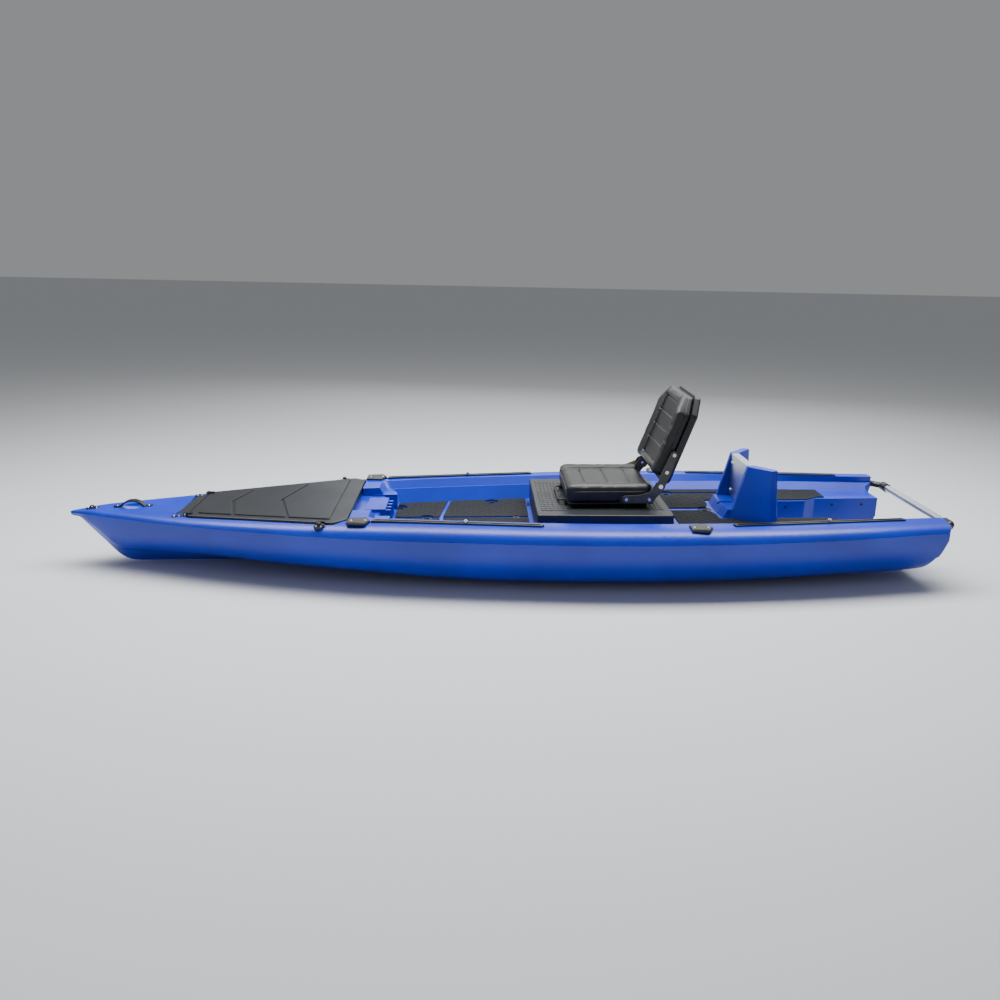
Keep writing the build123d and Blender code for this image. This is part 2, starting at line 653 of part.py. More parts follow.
def make_bow_handle():
    half = HANDLE_LENGTH / 2
    foot = half - 34
    top = [(-half, HANDLE_T), (-foot - 4, HANDLE_T), (0, 36), (foot + 4, HANDLE_T), (half, HANDLE_T)]
    under = [(half, 0), (foot, 0), (0, 36 - HANDLE_T), (-foot, 0), (-half, 0)]

    def at(p):
        return (HANDLE_X + p[0], 0, HANDLE_PAD_Z + p[1])

    edges = [Line(at(top[0]), at(top[1])), ThreePointArc(at(top[1]), at(top[2]), at(top[3])),
             Line(at(top[3]), at(top[4])), Line(at(top[4]), at(under[0])), Line(at(under[0]), at(under[1])),
             ThreePointArc(at(under[1]), at(under[2]), at(under[3])), Line(at(under[3]), at(under[4])),
             Line(at(under[4]), at(top[0]))]
    strap = extrude(make_face(edges), 15, both=True)
    return fillet(strap.edges().filter_by(Axis.Z), 6)


def pad_eye(x, y, z, length, width, base, major, minor, turn=0.0):
    foot = slab([(-length / 2, -width / 2), (length / 2, -width / 2), (length / 2, width / 2),
                 (-length / 2, width / 2)], 0, base, width * 0.3)
    loop = Pos(0, 0, base) * Rot(90, 0, 0) * Torus(major, minor)
    loop = loop & block(-99, 99, -99, 99, base - 1, 99)
    return Pos(x, y, z) * Rot(0, 0, turn) * (foot + loop)


def make_bow_pad_eye():
    return pad_eye(EYE_X, 0, EYE_Z, 54, 28, EYE_BASE, 11, 3.2)


def make_box_pad_eyes():
    shape = Part()
    for x, y, z in ((BOX_FRONT - 12, across(228), FOOT_FLOOR_Z),
                    (BOX_REAR + BOX_END_GAP + 17, across(225), DECK_Z)):
        shape += both(pad_eye(x, y, z, 44, 16, 3, 9, 2.6, 90))
    return shape


def make_accessory_plate(which):
    plate = slab(plate_outline(which), PLATE_Z, PLATE_Z + PLATE_HEIGHT, 9)
    plate = chamfer(plate.faces().sort_by(Axis.Z)[-1].edges(), 4)
    x, y = PLATE_SPOTS[which]
    for dx in PLATE_SCREWS:
        plate -= post(x + dx, y, PLATE_Z + PLATE_HEIGHT - 3.2, PLATE_Z + PLATE_HEIGHT + 1, 7)
    return plate


def make_gear_track(which):
    """A T-slot channel, closed at both ends."""
    length = track_length(which)
    half = TRACK_WIDTH / 2
    z = TRACK_FLOOR_Z
    bar = block(0, length, -half, half, z, z + TRACK_HEIGHT)
    bar -= block(12, length - 12, -4.5, 4.5, z + 4, z + TRACK_HEIGHT + 1)
    bar -= block(12, length - 12, -9.5, 9.5, z + 4, z + 11)
    return on_track(which, 0, length) * bar


def make_track_bolt(which):
    z = TRACK_FLOOR_Z
    top = z + TRACK_HEIGHT
    bolt = block(-8, 8, -9, 9, z + 4.5, z + 10) + post(0, 0, z + 8, top + 14, 3.5)
    bolt += post(0, 0, top + PART_GAP, top + 3, 9) + slab([(9 * cos(radians(a)), 9 * sin(radians(a)))
                                                       for a in range(0, 360, 60)], top + 3, top + 10)
    return on_track(which, track_length(which) * 0.55, 0) * bolt


# ---- pads, plugs and the bottom cover ------------------------------------------------------------------
PAD_EDGE = 6.0
PAD_CENTRE = 10.0


def pad_edge(x):
    return half_beam(x) - floor_inset(x) - PAD_EDGE


def scupper_clear(spots, z):
    shape = Part()
    for x, y in spots:
        shape += post(x, y, z - 5, z + 20, SCUPPER_SINK_R + 2)
    return shape


def make_floor_pad(part):
    """Starboard foot well pads: a fore one and a mid one, parted by a slanting seam."""
    seam_in, seam_out = along(1762), along(1795)
    gap = 18.0
    if part == "fore":
        x0, x1, x2 = FOOT_FRONT + 27, seam_in, seam_out
        points = [(x0, PAD_CENTRE), (x0, pad_edge(x0) - 8), ((x0 + x2) / 2, pad_edge((x0 + x2) / 2)),
                  (x2, pad_edge(x2)), (x1, PAD_CENTRE)]
    else:
        x0, x1, x2 = seam_in + gap, seam_out + gap, along(2213)
        points = [(x0, PAD_CENTRE), (x1, pad_edge(x1)), ((x1 + x2) / 2, pad_edge((x1 + x2) / 2)),
                  (x2, pad_edge(x2)), (x2, PAD_CENTRE)]
    pad = slab(points, FOOT_FLOOR_Z, FOOT_FLOOR_Z + PAD_THICK, 6)
    eye = block(BOX_FRONT - 24, BOX_FRONT + 20, across(228) - 26, across(228) + 26, FOOT_FLOOR_Z - 5, DECK_Z)
    grommet = post(CABLE_X, 0, FOOT_FLOOR_Z - 5, DECK_Z, 21)
    return pad - scupper_clear(SCUPPERS, FOOT_FLOOR_Z) - eye - grommet


def make_deck_pad():
    x0, x1, x2, x3 = along(2942), along(3140), along(3725), along(3860)
    mid = along(3400)
    points = [(x0, 22), (x0, pad_edge(x0)), (mid, pad_edge(mid)), (x3, pad_edge(x3)),
              (x3, WELL_HALF_AFT + 20), (along(3812), WELL_HALF_AFT + 20), (x2 + 14, WELL_HALF + 16),
              (along(3345), WELL_HALF + 16),
              (along(3170), 100), (x1, 22)]
    pad = slab(points, DECK_Z, DECK_Z + PAD_THICK, 5)
    (xa, ya), (xb, yb) = DECK_SCUPPERS[0], DECK_SCUPPERS[3]
    channel = block(xa, xb, ya - 10, ya + 10, DECK_Z - 5, DECK_Z + 20)
    base = slab(pillar_outline(PILLAR_FOOT, 7), DECK_Z - 5, DECK_Z + 20)
    low, high = DECK_Z - 5, DECK_Z + 20
    eye = block(BOX_REAR - 20, BOX_REAR + BOX_END_GAP + 30, across(225) - 26, across(225) + 26, low, high)
    plinth = block(along(3165), along(3335), -10, WELL_HALF + 16, low, high)
    return pad - scupper_clear(DECK_SCUPPERS, DECK_Z) - channel - base - eye - plinth


def make_scupper_plugs():
    shape = Part()
    for spots, floor in ((SCUPPERS, FOOT_FLOOR_Z), (DECK_SCUPPERS, DECK_Z), ([HATCH_SCUPPER], HATCH_FLOOR_Z)):
        for x, y in spots:
            plug = post(x, y, floor - 7, floor - 3, SCUPPER_SINK_R - 5)
            plug += post(x, y, floor - 55, floor - 5, SCUPPER_R - 0.5)
            plug += block(x - 14, x + 14, y - 3, y + 3, floor - 4, floor + 1)
            shape += plug
    return shape


def make_transducer_cover():
    cover = Pos(0, 0, 2) * scale(cover_outline(), by=(1, 1, COVER_THICK))
    for i in range(3):
        for j in range(3):
            x = COVER_REAR - 62 - 38 * i
            cover -= block(x - 12, x + 12, 26 * (j - 1) - 4, 26 * (j - 1) + 4, -5, 20)
    cover -= Pos(COVER_FRONT + 88, 0, 0) * scale(post(0, 0, -5, 20, 1), by=(32, 19, 1))
    return cover


COVER_SCREWS = [(COVER_FRONT + 20, 0), (COVER_REAR - 18, 74), (COVER_REAR - 18, -74)]


def make_cover_screws():
    shape = Part()
    for x, y in COVER_SCREWS:
        shape += post(x, y, 0.4, 2, 6)
    return shape


def make_cable_grommet():
    x = CABLE_X
    ring = post(x, 0, FOOT_FLOOR_Z - 6, FOOT_FLOOR_Z, 12) + post(x, 0, FOOT_FLOOR_Z, FOOT_FLOOR_Z + 3, 17)
    return ring - post(x, 0, FOOT_FLOOR_Z - 10, FOOT_FLOOR_Z + 10, 8)


# ---- motor mount and stern -----------------------------------------------------------------------------
CLAMP_REAR = WELL_FRONT
CLAMP_FRONT = CLAMP_REAR - CLAMP_THICK
PLINTH = 42.0
PILLAR_FOOT = [(-112, CLAMP_HALF + 4), (0, CLAMP_HALF + 1), (104, CLAMP_HALF + 112), (88, CLAMP_HALF + 134),
               (56, CLAMP_HALF + 138), (-112, CLAMP_HALF + 24)]
PILLAR_HEAD = [(-CLAMP_THICK, CLAMP_HALF + 2), (0, CLAMP_HALF + 1), (84, CLAMP_HALF + 92),
               (80, CLAMP_HALF + 110), (50, CLAMP_HALF + 116), (-CLAMP_THICK, CLAMP_HALF + 26)]


def pillar_outline(points, grow=0.0):
    """A pillar's outline beside the head of the stern well; grow is a margin all round."""
    cx = sum(p[0] for p in points) / len(points)
    cy = sum(p[1] for p in points) / len(points)
    spread = 1 + grow / 60
    return [(WELL_FRONT + cx + (px - cx) * spread, cy + (py - cy) * spread) for px, py in points]


def make_motor_mount():
    foot = plan(pillar_outline(PILLAR_FOOT), DECK_Z)
    head = plan(pillar_outline(PILLAR_HEAD), CLAMP_TOP_Z + 2)
    pillar = loft([foot, head], ruled=True)
    pillar = fillet(pillar.faces().sort_by(Axis.Z)[-1].edges(), 6)
    low = plan(mirrored([(WELL_FRONT - 152, 60), (WELL_FRONT - 142, CLAMP_HALF + 8),
                         (WELL_FRONT - 2, CLAMP_HALF + 8)]), DECK_Z)
    high = plan(mirrored([(WELL_FRONT - 128, 60), (WELL_FRONT - 120, CLAMP_HALF + 8),
                          (WELL_FRONT - 2, CLAMP_HALF + 8)]), DECK_Z + PLINTH)
    plinth = loft([low, high], ruled=True)
    groove = block(WELL_FRONT - 160, CLAMP_FRONT - 14, -9, 9, DECK_Z + PLINTH - 14, TOP_Z)
    return both(pillar) + (plinth - groove)


def make_transom_board():
    core = CLAMP_SHEET
    board = block(CLAMP_FRONT + core, CLAMP_REAR - core, -CLAMP_HALF, CLAMP_HALF, DECK_Z + PLINTH,
                  CLAMP_TOP_Z - core)
    return board - clamp_holes(5) - nut_pockets()


CLAMP_BOLTS = [(s * (CLAMP_HALF - 16), DECK_Z + z) for s in (1, -1) for z in (75, 220)]
NUT_R = 8.0
NUT_DEPTH = 8.0


def clamp_holes(r):
    shape = Part()
    for y, z in CLAMP_BOLTS:
        shape += rod((CLAMP_FRONT - 20, y, z), (CLAMP_REAR + 20, y, z), r)
    return shape


def nut_pockets():
    """Round pockets that keep the nuts below the after face, where a motor clamps."""
    shape = Part()
    for y, z in CLAMP_BOLTS:
        shape += rod((CLAMP_REAR - NUT_DEPTH, y, z), (CLAMP_REAR + 20, y, z), NUT_R + 1)
    return shape


def make_clamp_plate():
    z0 = DECK_Z + PLINTH + 1
    sheet = block(CLAMP_FRONT, CLAMP_REAR, -CLAMP_HALF, CLAMP_HALF, z0, CLAMP_TOP_Z)
    sheet = fillet(sheet.edges().filter_by(Axis.Y).group_by(Axis.Z)[-1], 2.5)
    sheet -= block(CLAMP_FRONT + CLAMP_SHEET, CLAMP_REAR - CLAMP_SHEET, -CLAMP_HALF - 5, CLAMP_HALF + 5,
                   z0 - 5, CLAMP_TOP_Z - CLAMP_SHEET)
    return sheet - clamp_holes(5) - nut_pockets()


def make_clamp_bolts():
    shape = Part()
    for y, z in CLAMP_BOLTS:
        shape += rod((CLAMP_FRONT - 5, y, z), (CLAMP_REAR - 1, y, z), 5)
        shape += rod((CLAMP_FRONT - 5, y, z), (CLAMP_FRONT, y, z), 9)
        shape += rod((CLAMP_REAR - NUT_DEPTH, y, z), (CLAMP_REAR - 2, y, z), NUT_R)
    return shape


BAR_HALF = 325.0
ELBOW_Y = 408.0
BAR_X = HULL_LENGTH + BAR_STANDOFF


def make_stern_bar():
    return rod((BAR_X, -BAR_HALF, BAR_Z), (BAR_X, BAR_HALF, BAR_Z), BAR_R) - rod(
        (BAR_X, -BAR_HALF - 5, BAR_Z), (BAR_X, BAR_HALF + 5, BAR_Z), BAR_R - 2)


def make_stern_elbow():
    """Starboard elbow: a socket on the tube's end, a slanting arm and a round foot on the stern face."""
    bend = (BAR_X, BAR_HALF + 30, BAR_Z)
    foot = (HULL_LENGTH + 18, across(ELBOW_Y), BAR_Z)
    shape = rod((BAR_X, BAR_HALF - 18, BAR_Z), bend, ELBOW_R) + Pos(*bend) * Sphere(ELBOW_R - 1)
    shape += rod(bend, foot, 17) + Pos(*foot) * Sphere(17)
    shape += rod((HULL_LENGTH, foot[1], BAR_Z), foot, 17) + rod((HULL_LENGTH, foot[1], BAR_Z),
                                                               (HULL_LENGTH + 6, foot[1], BAR_Z), 27)
    seat = rod((BAR_X, BAR_HALF - 40, BAR_Z), (BAR_X, BAR_HALF, BAR_Z), BAR_R)
    return shape - seat


def make_well_inserts():
    """Threaded metal inserts, flush with the walls of the stern well."""
    shape = Part()
    for x, y, z, s in INSERTS:
        shape += rod((x, y, z), (x, y + s * INSERT_LENGTH, z), INSERT_R) - rod(
            (x, y - s, z), (x, y + s * (INSERT_LENGTH + 1), z), INSERT_BORE_R)
    for x, y, z in FRONT_INSERTS:
        shape += rod((x, y, z), (x - INSERT_LENGTH, y, z), INSERT_R) - rod(
            (x + 1, y, z), (x - INSERT_LENGTH - 1, y, z), INSERT_BORE_R)
    return shape


# ---- seat ------------------------------------------------------------------------------------------------
BOX_TOP = FOOT_FLOOR_Z + BOX_HEIGHT
SEAT_X = (BOX_FRONT + BOX_REAR) / 2 + SEAT_AFT
SEAT_FRONT = SEAT_X - SEAT_DEPTH / 2
SEAT_REAR = SEAT_X + SEAT_DEPTH / 2
RAIL_Z = BOX_TOP
PAN_Z = BOX_TOP + 25
PAN_T = 4.0
CUSHION_Z = PAN_Z + PAN_T
PIVOT_X = SEAT_REAR + 25
PIVOT_Z = CUSHION_Z + CUSHION_THICK + 8
FLANGE_Y = SEAT_WIDTH / 2 + 2
LOWER_Y = FLANGE_Y + 4
UPPER_Y = LOWER_Y + PLATE_T + PART_GAP
LOWER_BOLTS = [(PIVOT_X - 165, PAN_Z + 24), (PIVOT_X - 52, PAN_Z + 24)]
BACK_BOLTS = [75.0, 165.0]    # along the backrest from its pivot


def back_frame(shape):
    """Puts a shape drawn upright at the origin on the backrest pivot, tilted to its rest angle."""
    return Pos(PIVOT_X, 0, PIVOT_Z) * Rot(0, RECLINE_REST, 0) * shape


def make_seat_box():
    """A sealed hollow riser that lifts out of the cockpit."""
    def outline(inset):
        return mirrored([(BOX_FRONT + inset, half_beam(BOX_FRONT) - FLOOR_INSET - BOX_SIDE_GAP - inset),
                         (BOX_REAR - inset, half_beam(BOX_REAR) - FLOOR_INSET - BOX_SIDE_GAP - 8 - inset)])
    riser = slab(outline(0), FOOT_FLOOR_Z + PART_GAP, BOX_TOP, 18)
    riser = fillet(riser.faces().sort_by(Axis.Z)[-1].edges(), 7)
    return riser - slab(outline(BOX_WALL), FOOT_FLOOR_Z + BOX_WALL, BOX_TOP - BOX_WALL, 13)


def make_lower_rails():
    y = RAIL_SPACING / 2
    rail = block(SEAT_FRONT, SEAT_REAR - 20, y - 16, y + 16, RAIL_Z, RAIL_Z + 3)
    rail += block(SEAT_FRONT, SEAT_REAR - 20, y - 16, y - 13, RAIL_Z, RAIL_Z + 11)
    rail += block(SEAT_FRONT, SEAT_REAR - 20, y + 13, y + 16, RAIL_Z, RAIL_Z + 11)
    return both(rail)


def make_upper_rails():
    y = RAIL_SPACING / 2
    rail = block(SEAT_FRONT + 6, SEAT_REAR - 30, y - 12, y + 12, RAIL_Z + 3 + PART_GAP, RAIL_Z + 12)
    rail += block(SEAT_FRONT + 6, SEAT_REAR - 30, y - 15, y + 15, RAIL_Z + 12, PAN_Z)
    return both(rail)


def make_seat_pan():
    pan = block(SEAT_FRONT + 10, SEAT_REAR - 5, -FLANGE_Y - 4, FLANGE_Y + 4, PAN_Z, PAN_Z + PAN_T)
    pan += both(block(SEAT_REAR - 170, SEAT_REAR - 5, FLANGE_Y, FLANGE_Y + 4, PAN_Z, PAN_Z + 38))
    return pan


def make_seat_cushion():
    half = SEAT_WIDTH / 2
    pad = slab([(SEAT_FRONT, -half), (SEAT_REAR, -half), (SEAT_REAR, half), (SEAT_FRONT, half)],
               CUSHION_Z, CUSHION_Z + CUSHION_THICK, 40)
    return fillet(pad.faces().sort_by(Axis.Z)[-1].edges(), 22)


def xz_plate(points, y0, y1, radius):
    """A flat plate across Y from (x, z) points."""
    face = make_face(Polyline(*[(px, y0, pz) for px, pz in points], close=True))
    plate = extrude(face, y1 - y0, dir=(0, 1, 0))
    return fillet(plate.edges().filter_by(Axis.Y), radius)


def make_lower_bracket():
    """Starboard side plate: it runs aft along the seat pan and rises to the backrest pivot."""
    z = PAN_Z + 24
    end, r = LOWER_BOLTS[0][0], 18
    points = [(end, z - r), (PIVOT_X - 38, z - 20), (PIVOT_X + 24, PIVOT_Z - 8), (PIVOT_X + 22, PIVOT_Z + 20),
              (PIVOT_X - 18, PIVOT_Z + 20), (PIVOT_X - 52, z + 34), (PIVOT_X - 105, z + 20), (end, z + r)]
    plate = xz_plate(points, LOWER_Y, LOWER_Y + PLATE_T, 3)
    plate += rod((end, LOWER_Y, z), (end, LOWER_Y + PLATE_T, z), r)
    for x, bz in LOWER_BOLTS:
        plate -= rod((x, LOWER_Y - 9, bz), (x, LOWER_Y + 20, bz), 4)
    return plate - rod((PIVOT_X, LOWER_Y - 9, PIVOT_Z), (PIVOT_X, LOWER_Y + 20, PIVOT_Z), PIVOT_R)


def make_bracket_bolts():
    shape = Part()
    for x, z in LOWER_BOLTS:
        shape += rod((x, LOWER_Y, z), (x, LOWER_Y + PLATE_T + 1, z), 4)
        shape += rod((x, LOWER_Y + PLATE_T, z), (x, LOWER_Y + PLATE_T + 6, z), 8)
    return both(shape)


RECLINER_Y = UPPER_Y + PLATE_T + PART_GAP
LEVER_Y = RECLINER_Y + 14 + PART_GAP


def make_pivot_bolts():
    """Port: a bolt with a head. Starboard: a longer one that also carries the recliner and its lever."""
    short = rod((PIVOT_X, LOWER_Y, PIVOT_Z), (PIVOT_X, UPPER_Y + PLATE_T + PART_GAP, PIVOT_Z), PIVOT_R)
    head = rod((PIVOT_X, UPPER_Y + PLATE_T + PART_GAP, PIVOT_Z),
               (PIVOT_X, UPPER_Y + PLATE_T + 7, PIVOT_Z), 11)
    end = LEVER_Y + 8 + PART_GAP
    long = rod((PIVOT_X, LOWER_Y, PIVOT_Z), (PIVOT_X, end, PIVOT_Z), PIVOT_R)
    cap = rod((PIVOT_X, end, PIVOT_Z), (PIVOT_X, end + 5, PIVOT_Z), 11)
    return port_of(short + head) + (long + cap)


def make_recliner_housing():
    disc = rod((PIVOT_X, RECLINER_Y, PIVOT_Z), (PIVOT_X, RECLINER_Y + 14, PIVOT_Z), 34)
    disc = chamfer(disc.edges().group_by(Axis.Y)[-1], 3)
    return disc - rod((PIVOT_X, RECLINER_Y - 9, PIVOT_Z), (PIVOT_X, RECLINER_Y + 20, PIVOT_Z), PIVOT_R)


def make_recline_lever():
    points = [(PIVOT_X + 15, PIVOT_Z - 16), (PIVOT_X + 15, PIVOT_Z + 16), (PIVOT_X - 18, PIVOT_Z + 14),
              (PIVOT_X - 160, PIVOT_Z - 46), (PIVOT_X - 166, PIVOT_Z - 66), (PIVOT_X - 50, PIVOT_Z - 28)]
    bar = xz_plate(points, LEVER_Y, LEVER_Y + 8, 6)
    bore = rod((PIVOT_X, LEVER_Y - 9, PIVOT_Z), (PIVOT_X, LEVER_Y + 20, PIVOT_Z), PIVOT_R + RUNNING_GAP)
    return bar - bore


def make_slide_release():
    x0, z, arm_y = SEAT_FRONT + 40, RAIL_Z + 15, RAIL_SPACING / 2 - 27
    shape = rod((x0, -arm_y - 10, z), (x0, arm_y + 10, z), 5)
    shape += rod((x0 - 66, -arm_y - 6, z), (x0 - 66, arm_y + 6, z), 5)
    for y in (-arm_y, arm_y):
        shape += rod((x0, y, z), (x0 - 66, y, z), 4)
    return shape


def make_upper_bracket():
    """Starboard strap from the pivot up the side of the backrest."""
    top, r = BACK_BOLTS[-1], 17
    strap = xz_plate([(-20, -20), (20, -20), (22, 60), (r, top), (-r, top), (-22, 60)],
                     UPPER_Y, UPPER_Y + PLATE_T, 4)
    strap += rod((0, UPPER_Y, top), (0, UPPER_Y + PLATE_T, top), r)
    for u in BACK_BOLTS:
        strap -= rod((0, UPPER_Y - 9, u), (0, UPPER_Y + 20, u), 4)
    strap -= rod((0, UPPER_Y - 9, 0), (0, UPPER_Y + 20, 0), PIVOT_R + RUNNING_GAP)
    return back_frame(strap)


def make_back_bolts():
    shape = Part()
    for u in BACK_BOLTS:
        shape += rod((0, BACK_HALF, u), (0, UPPER_Y + PLATE_T, u), 4)
        shape += rod((0, UPPER_Y + PLATE_T, u), (0, UPPER_Y + PLATE_T + 6, u), 9)
    return back_frame(both(shape))


BACK_HALF = SEAT_WIDTH / 2 + 2
SHELL_T = 4.0
BACK_LOW = 36.0               # pivot to the foot of the back cushion
BACK_THICK = 54.0


def back_outline(low, half, top):
    """The backrest seen from the front, as (y, z) points: its upper corners are cut off."""
    return [(-half, low), (half, low), (half, top - 85), (half - 70, top), (-half + 70, top),
            (-half, top - 85)]


def back_slab(low, half, top, v0, v1, radius):
    face = make_face(Polyline(*[(v0, py, pz) for py, pz in back_outline(low, half, top)], close=True))
    body = extrude(face, v1 - v0, dir=(1, 0, 0))
    return fillet(body.edges().filter_by(Axis.X), radius)


def make_backrest_shell():
    shell = back_slab(14, BACK_HALF, BACK_LENGTH, 6, 42, 28)
    shell = fillet(shell.faces().sort_by(Axis.X)[-1].edges(), 14)
    inside = back_slab(14 + SHELL_T, BACK_HALF - SHELL_T, BACK_LENGTH - SHELL_T, 6 + SHELL_T,
                       42 - SHELL_T, 22)
    return back_frame(shell - inside)


def make_backrest_cushion():
    pad = back_slab(BACK_LOW, BACK_HALF - 4, BACK_LENGTH - 6, 6 - BACK_THICK, 6, 26)
    pad = fillet(pad.faces().sort_by(Axis.X)[0].edges(), 14)
    return back_frame(pad)


# ---- every node ------------------------------------------------------------------------------------------
def all_nodes():
    nodes = {
        "hull": make_hull(),
        "hatch_lid": make_hatch_lid(),
        "hatch_gasket": make_hatch_gasket(),
        "hatch_front_strip": make_front_strip(),
        "hatch_hinge_brackets": make_hinge_brackets(),
        "hatch_hinge_pins": make_hinge_pins(),
        "latch_bases": make_latch_bases(),
        "deck_screws": make_deck_screws(),
        "bow_handle": make_bow_handle(),
        "bow_pad_eye": make_bow_pad_eye(),
        "box_pad_eyes": make_box_pad_eyes(),
        "scupper_plugs": make_scupper_plugs(),
        "transducer_cover": make_transducer_cover(),
        "cover_screws": make_cover_screws(),
        "cable_grommet": make_cable_grommet(),
        "motor_mount": make_motor_mount(),
        "transom_board": make_transom_board(),
        "clamp_plate": make_clamp_plate(),
        "clamp_bolts": make_clamp_bolts(),
        "stern_bar": make_stern_bar(),
        "well_inserts": make_well_inserts(),
        "seat_box": make_seat_box(),
        "slide_rails_lower": make_lower_rails(),
        "slide_rails_upper": make_upper_rails(),
        "seat_pan": make_seat_pan(),
        "seat_cushion": make_seat_cushion(),
        "bracket_bolts": make_bracket_bolts(),
        "pivot_bolts": make_pivot_bolts(),
        "recliner_housing": make_recliner_housing(),
        "recline_lever": make_recline_lever(),
        "slide_release_bar": make_slide_release(),
        "backrest_shell": make_backrest_shell(),
        "backrest_cushion": make_backrest_cushion(),
        "back_bolts": make_back_bolts(),
    }
    pairs = {
        "latch_knob": make_latch_knob(),
        "accessory_plate_fore": make_accessory_plate("fore"),
        "accessory_plate_aft": make_accessory_plate("aft"),
        "gear_track_fore": make_gear_track("fore"),
        "gear_track_aft": make_gear_track("aft"),
        "track_bolt_fore": make_track_bolt("fore"),
        "track_bolt_aft": make_track_bolt("aft"),
        "floor_pad_fore": make_floor_pad("fore"),
        "floor_pad_mid": make_floor_pad("mid"),
        "deck_pad": make_deck_pad(),
        "stern_elbow": make_stern_elbow(),
        "bracket_lower": make_lower_bracket(),
        "bracket_upper": make_upper_bracket(),
    }
    for name, shape in pairs.items():
        nodes[name + "_starboard"] = shape
        nodes[name + "_port"] = port_of(shape)
    return nodes


os.makedirs("parts", exist_ok=True)
middle = (HULL_LENGTH + BAR_STANDOFF + ELBOW_R) / 2
for name, shape in all_nodes().items():
    export_step(Pos(-middle, 0, 0) * shape, f"parts/{name}.step")
    print(name, len(shape.solids()), round(shape.volume / 1000, 1))
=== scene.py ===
# %% [markdown]
# # A sit-on-top boat in moulded blue polyethylene
# The hull, hatch, seat frame and fittings are finished CAD pieces. This lesson gives them real materials
# and models what CAD leaves plain: stuffed seat cushions, grooved foam pads and the small raised grid on
# the seat box.

# %% The fixed frame
import json
from math import cos, pi, radians, sin

import bmesh
import bpy
from mathutils import Matrix, Vector


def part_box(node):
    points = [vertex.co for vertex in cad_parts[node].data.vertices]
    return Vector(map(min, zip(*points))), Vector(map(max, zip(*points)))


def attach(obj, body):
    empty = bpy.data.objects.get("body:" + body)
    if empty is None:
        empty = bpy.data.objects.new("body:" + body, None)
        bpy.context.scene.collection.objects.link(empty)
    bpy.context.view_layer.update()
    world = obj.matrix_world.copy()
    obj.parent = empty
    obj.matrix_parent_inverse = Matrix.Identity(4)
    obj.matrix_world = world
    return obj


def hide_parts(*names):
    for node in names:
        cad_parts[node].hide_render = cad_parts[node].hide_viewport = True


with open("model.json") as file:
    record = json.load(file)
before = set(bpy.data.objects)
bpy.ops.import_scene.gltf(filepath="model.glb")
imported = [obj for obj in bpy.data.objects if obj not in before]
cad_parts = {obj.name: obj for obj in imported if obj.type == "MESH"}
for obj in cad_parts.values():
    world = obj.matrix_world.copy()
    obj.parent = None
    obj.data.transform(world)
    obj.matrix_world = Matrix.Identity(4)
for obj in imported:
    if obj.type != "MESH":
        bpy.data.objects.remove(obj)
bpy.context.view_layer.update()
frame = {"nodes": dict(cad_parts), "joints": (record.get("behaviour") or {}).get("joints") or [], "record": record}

NODES = frame["nodes"]

# %% [markdown]
# ## Helpers
# Colours are picked as sRGB hex values, as in any paint chart, and turned to the linear values that
# shaders use. One small function adds a node, sets it up and links it, so each material below reads from
# top to bottom.

# %% Colour and node helpers
MM = 0.001                    # the scene is in metres, and grains are given in millimetres


def linear(hex_colour, alpha=1.0):
    """An sRGB hex colour as linear RGBA."""
    parts = [int(hex_colour[i:i + 2], 16) / 255 for i in (1, 3, 5)]
    return [c / 12.92 if c <= 0.04045 else ((c + 0.055) / 1.055) ** 2.4 for c in parts] + [alpha]


def add(mat, kind, settings=None, links=None):
    """Adds a node; settings go to its properties or inputs, links bring sockets to its inputs."""
    node = mat.node_tree.nodes.new(kind)
    for key, value in (settings or {}).items():
        if isinstance(key, str) and hasattr(node, key):
            setattr(node, key, value)
        else:
            node.inputs[key].default_value = value
    for key, socket in (links or {}).items():
        mat.node_tree.links.new(socket, node.inputs[key])
    return node


def new_material(name, base, roughness, **sockets):
    """A Principled material and its shader node, with plain values set on its own sockets."""
    mat = bpy.data.materials.new(name)
    mat.use_nodes = True
    shader = mat.node_tree.nodes["Principled BSDF"]
    shader.inputs["Base Color"].default_value = linear(base)
    shader.inputs["Roughness"].default_value = roughness
    for key, value in sockets.items():
        shader.inputs[key.replace("_", " ")].default_value = value
    return mat, shader


def join(mat, socket, target):
    mat.node_tree.links.new(socket, target)


def object_coordinates(mat, scale=(1, 1, 1)):
    """The place on the piece itself, so that a pattern stays put when the piece moves."""
    place = add(mat, "ShaderNodeTexCoord")
    return add(mat, "ShaderNodeMapping", {"Scale": scale}, {"Vector": place.outputs["Object"]})


def mottle(mat, shader, base, deep, period):
    """Slow colour change over a surface, with patches about one period wide, in metres."""
    place = object_coordinates(mat)
    noise = add(mat, "ShaderNodeTexNoise", {"Scale": 1 / period, "Detail": 4.0, "Roughness": 0.55},
                {"Vector": place.outputs["Vector"]})
    ramp = add(mat, "ShaderNodeMapRange", {"From Min": 0.35, "From Max": 0.65}, {"Value": noise.outputs["Fac"]})
    # Inputs 0, 6 and 7 of a colour mix are its factor and its two colours, and output 2 is the mixed colour.
    mix = add(mat, "ShaderNodeMix", {"data_type": "RGBA", 6: linear(base), 7: linear(deep)},
              {0: ramp.outputs["Result"]})
    join(mat, mix.outputs[2], shader.inputs["Base Color"])
    return noise


def grain(mat, shader, period, height, stretch=(1, 1, 1)):
    """A fine bump with grains about one period wide and the given height, both in metres."""
    place = object_coordinates(mat, stretch)
    noise = add(mat, "ShaderNodeTexNoise", {"Scale": 1 / period, "Detail": 3.0},
                {"Vector": place.outputs["Vector"]})
    bump = add(mat, "ShaderNodeBump", {"Distance": height, "Strength": 1.0}, {"Height": noise.outputs["Fac"]})
    join(mat, bump.outputs["Normal"], shader.inputs["Normal"])
    return noise


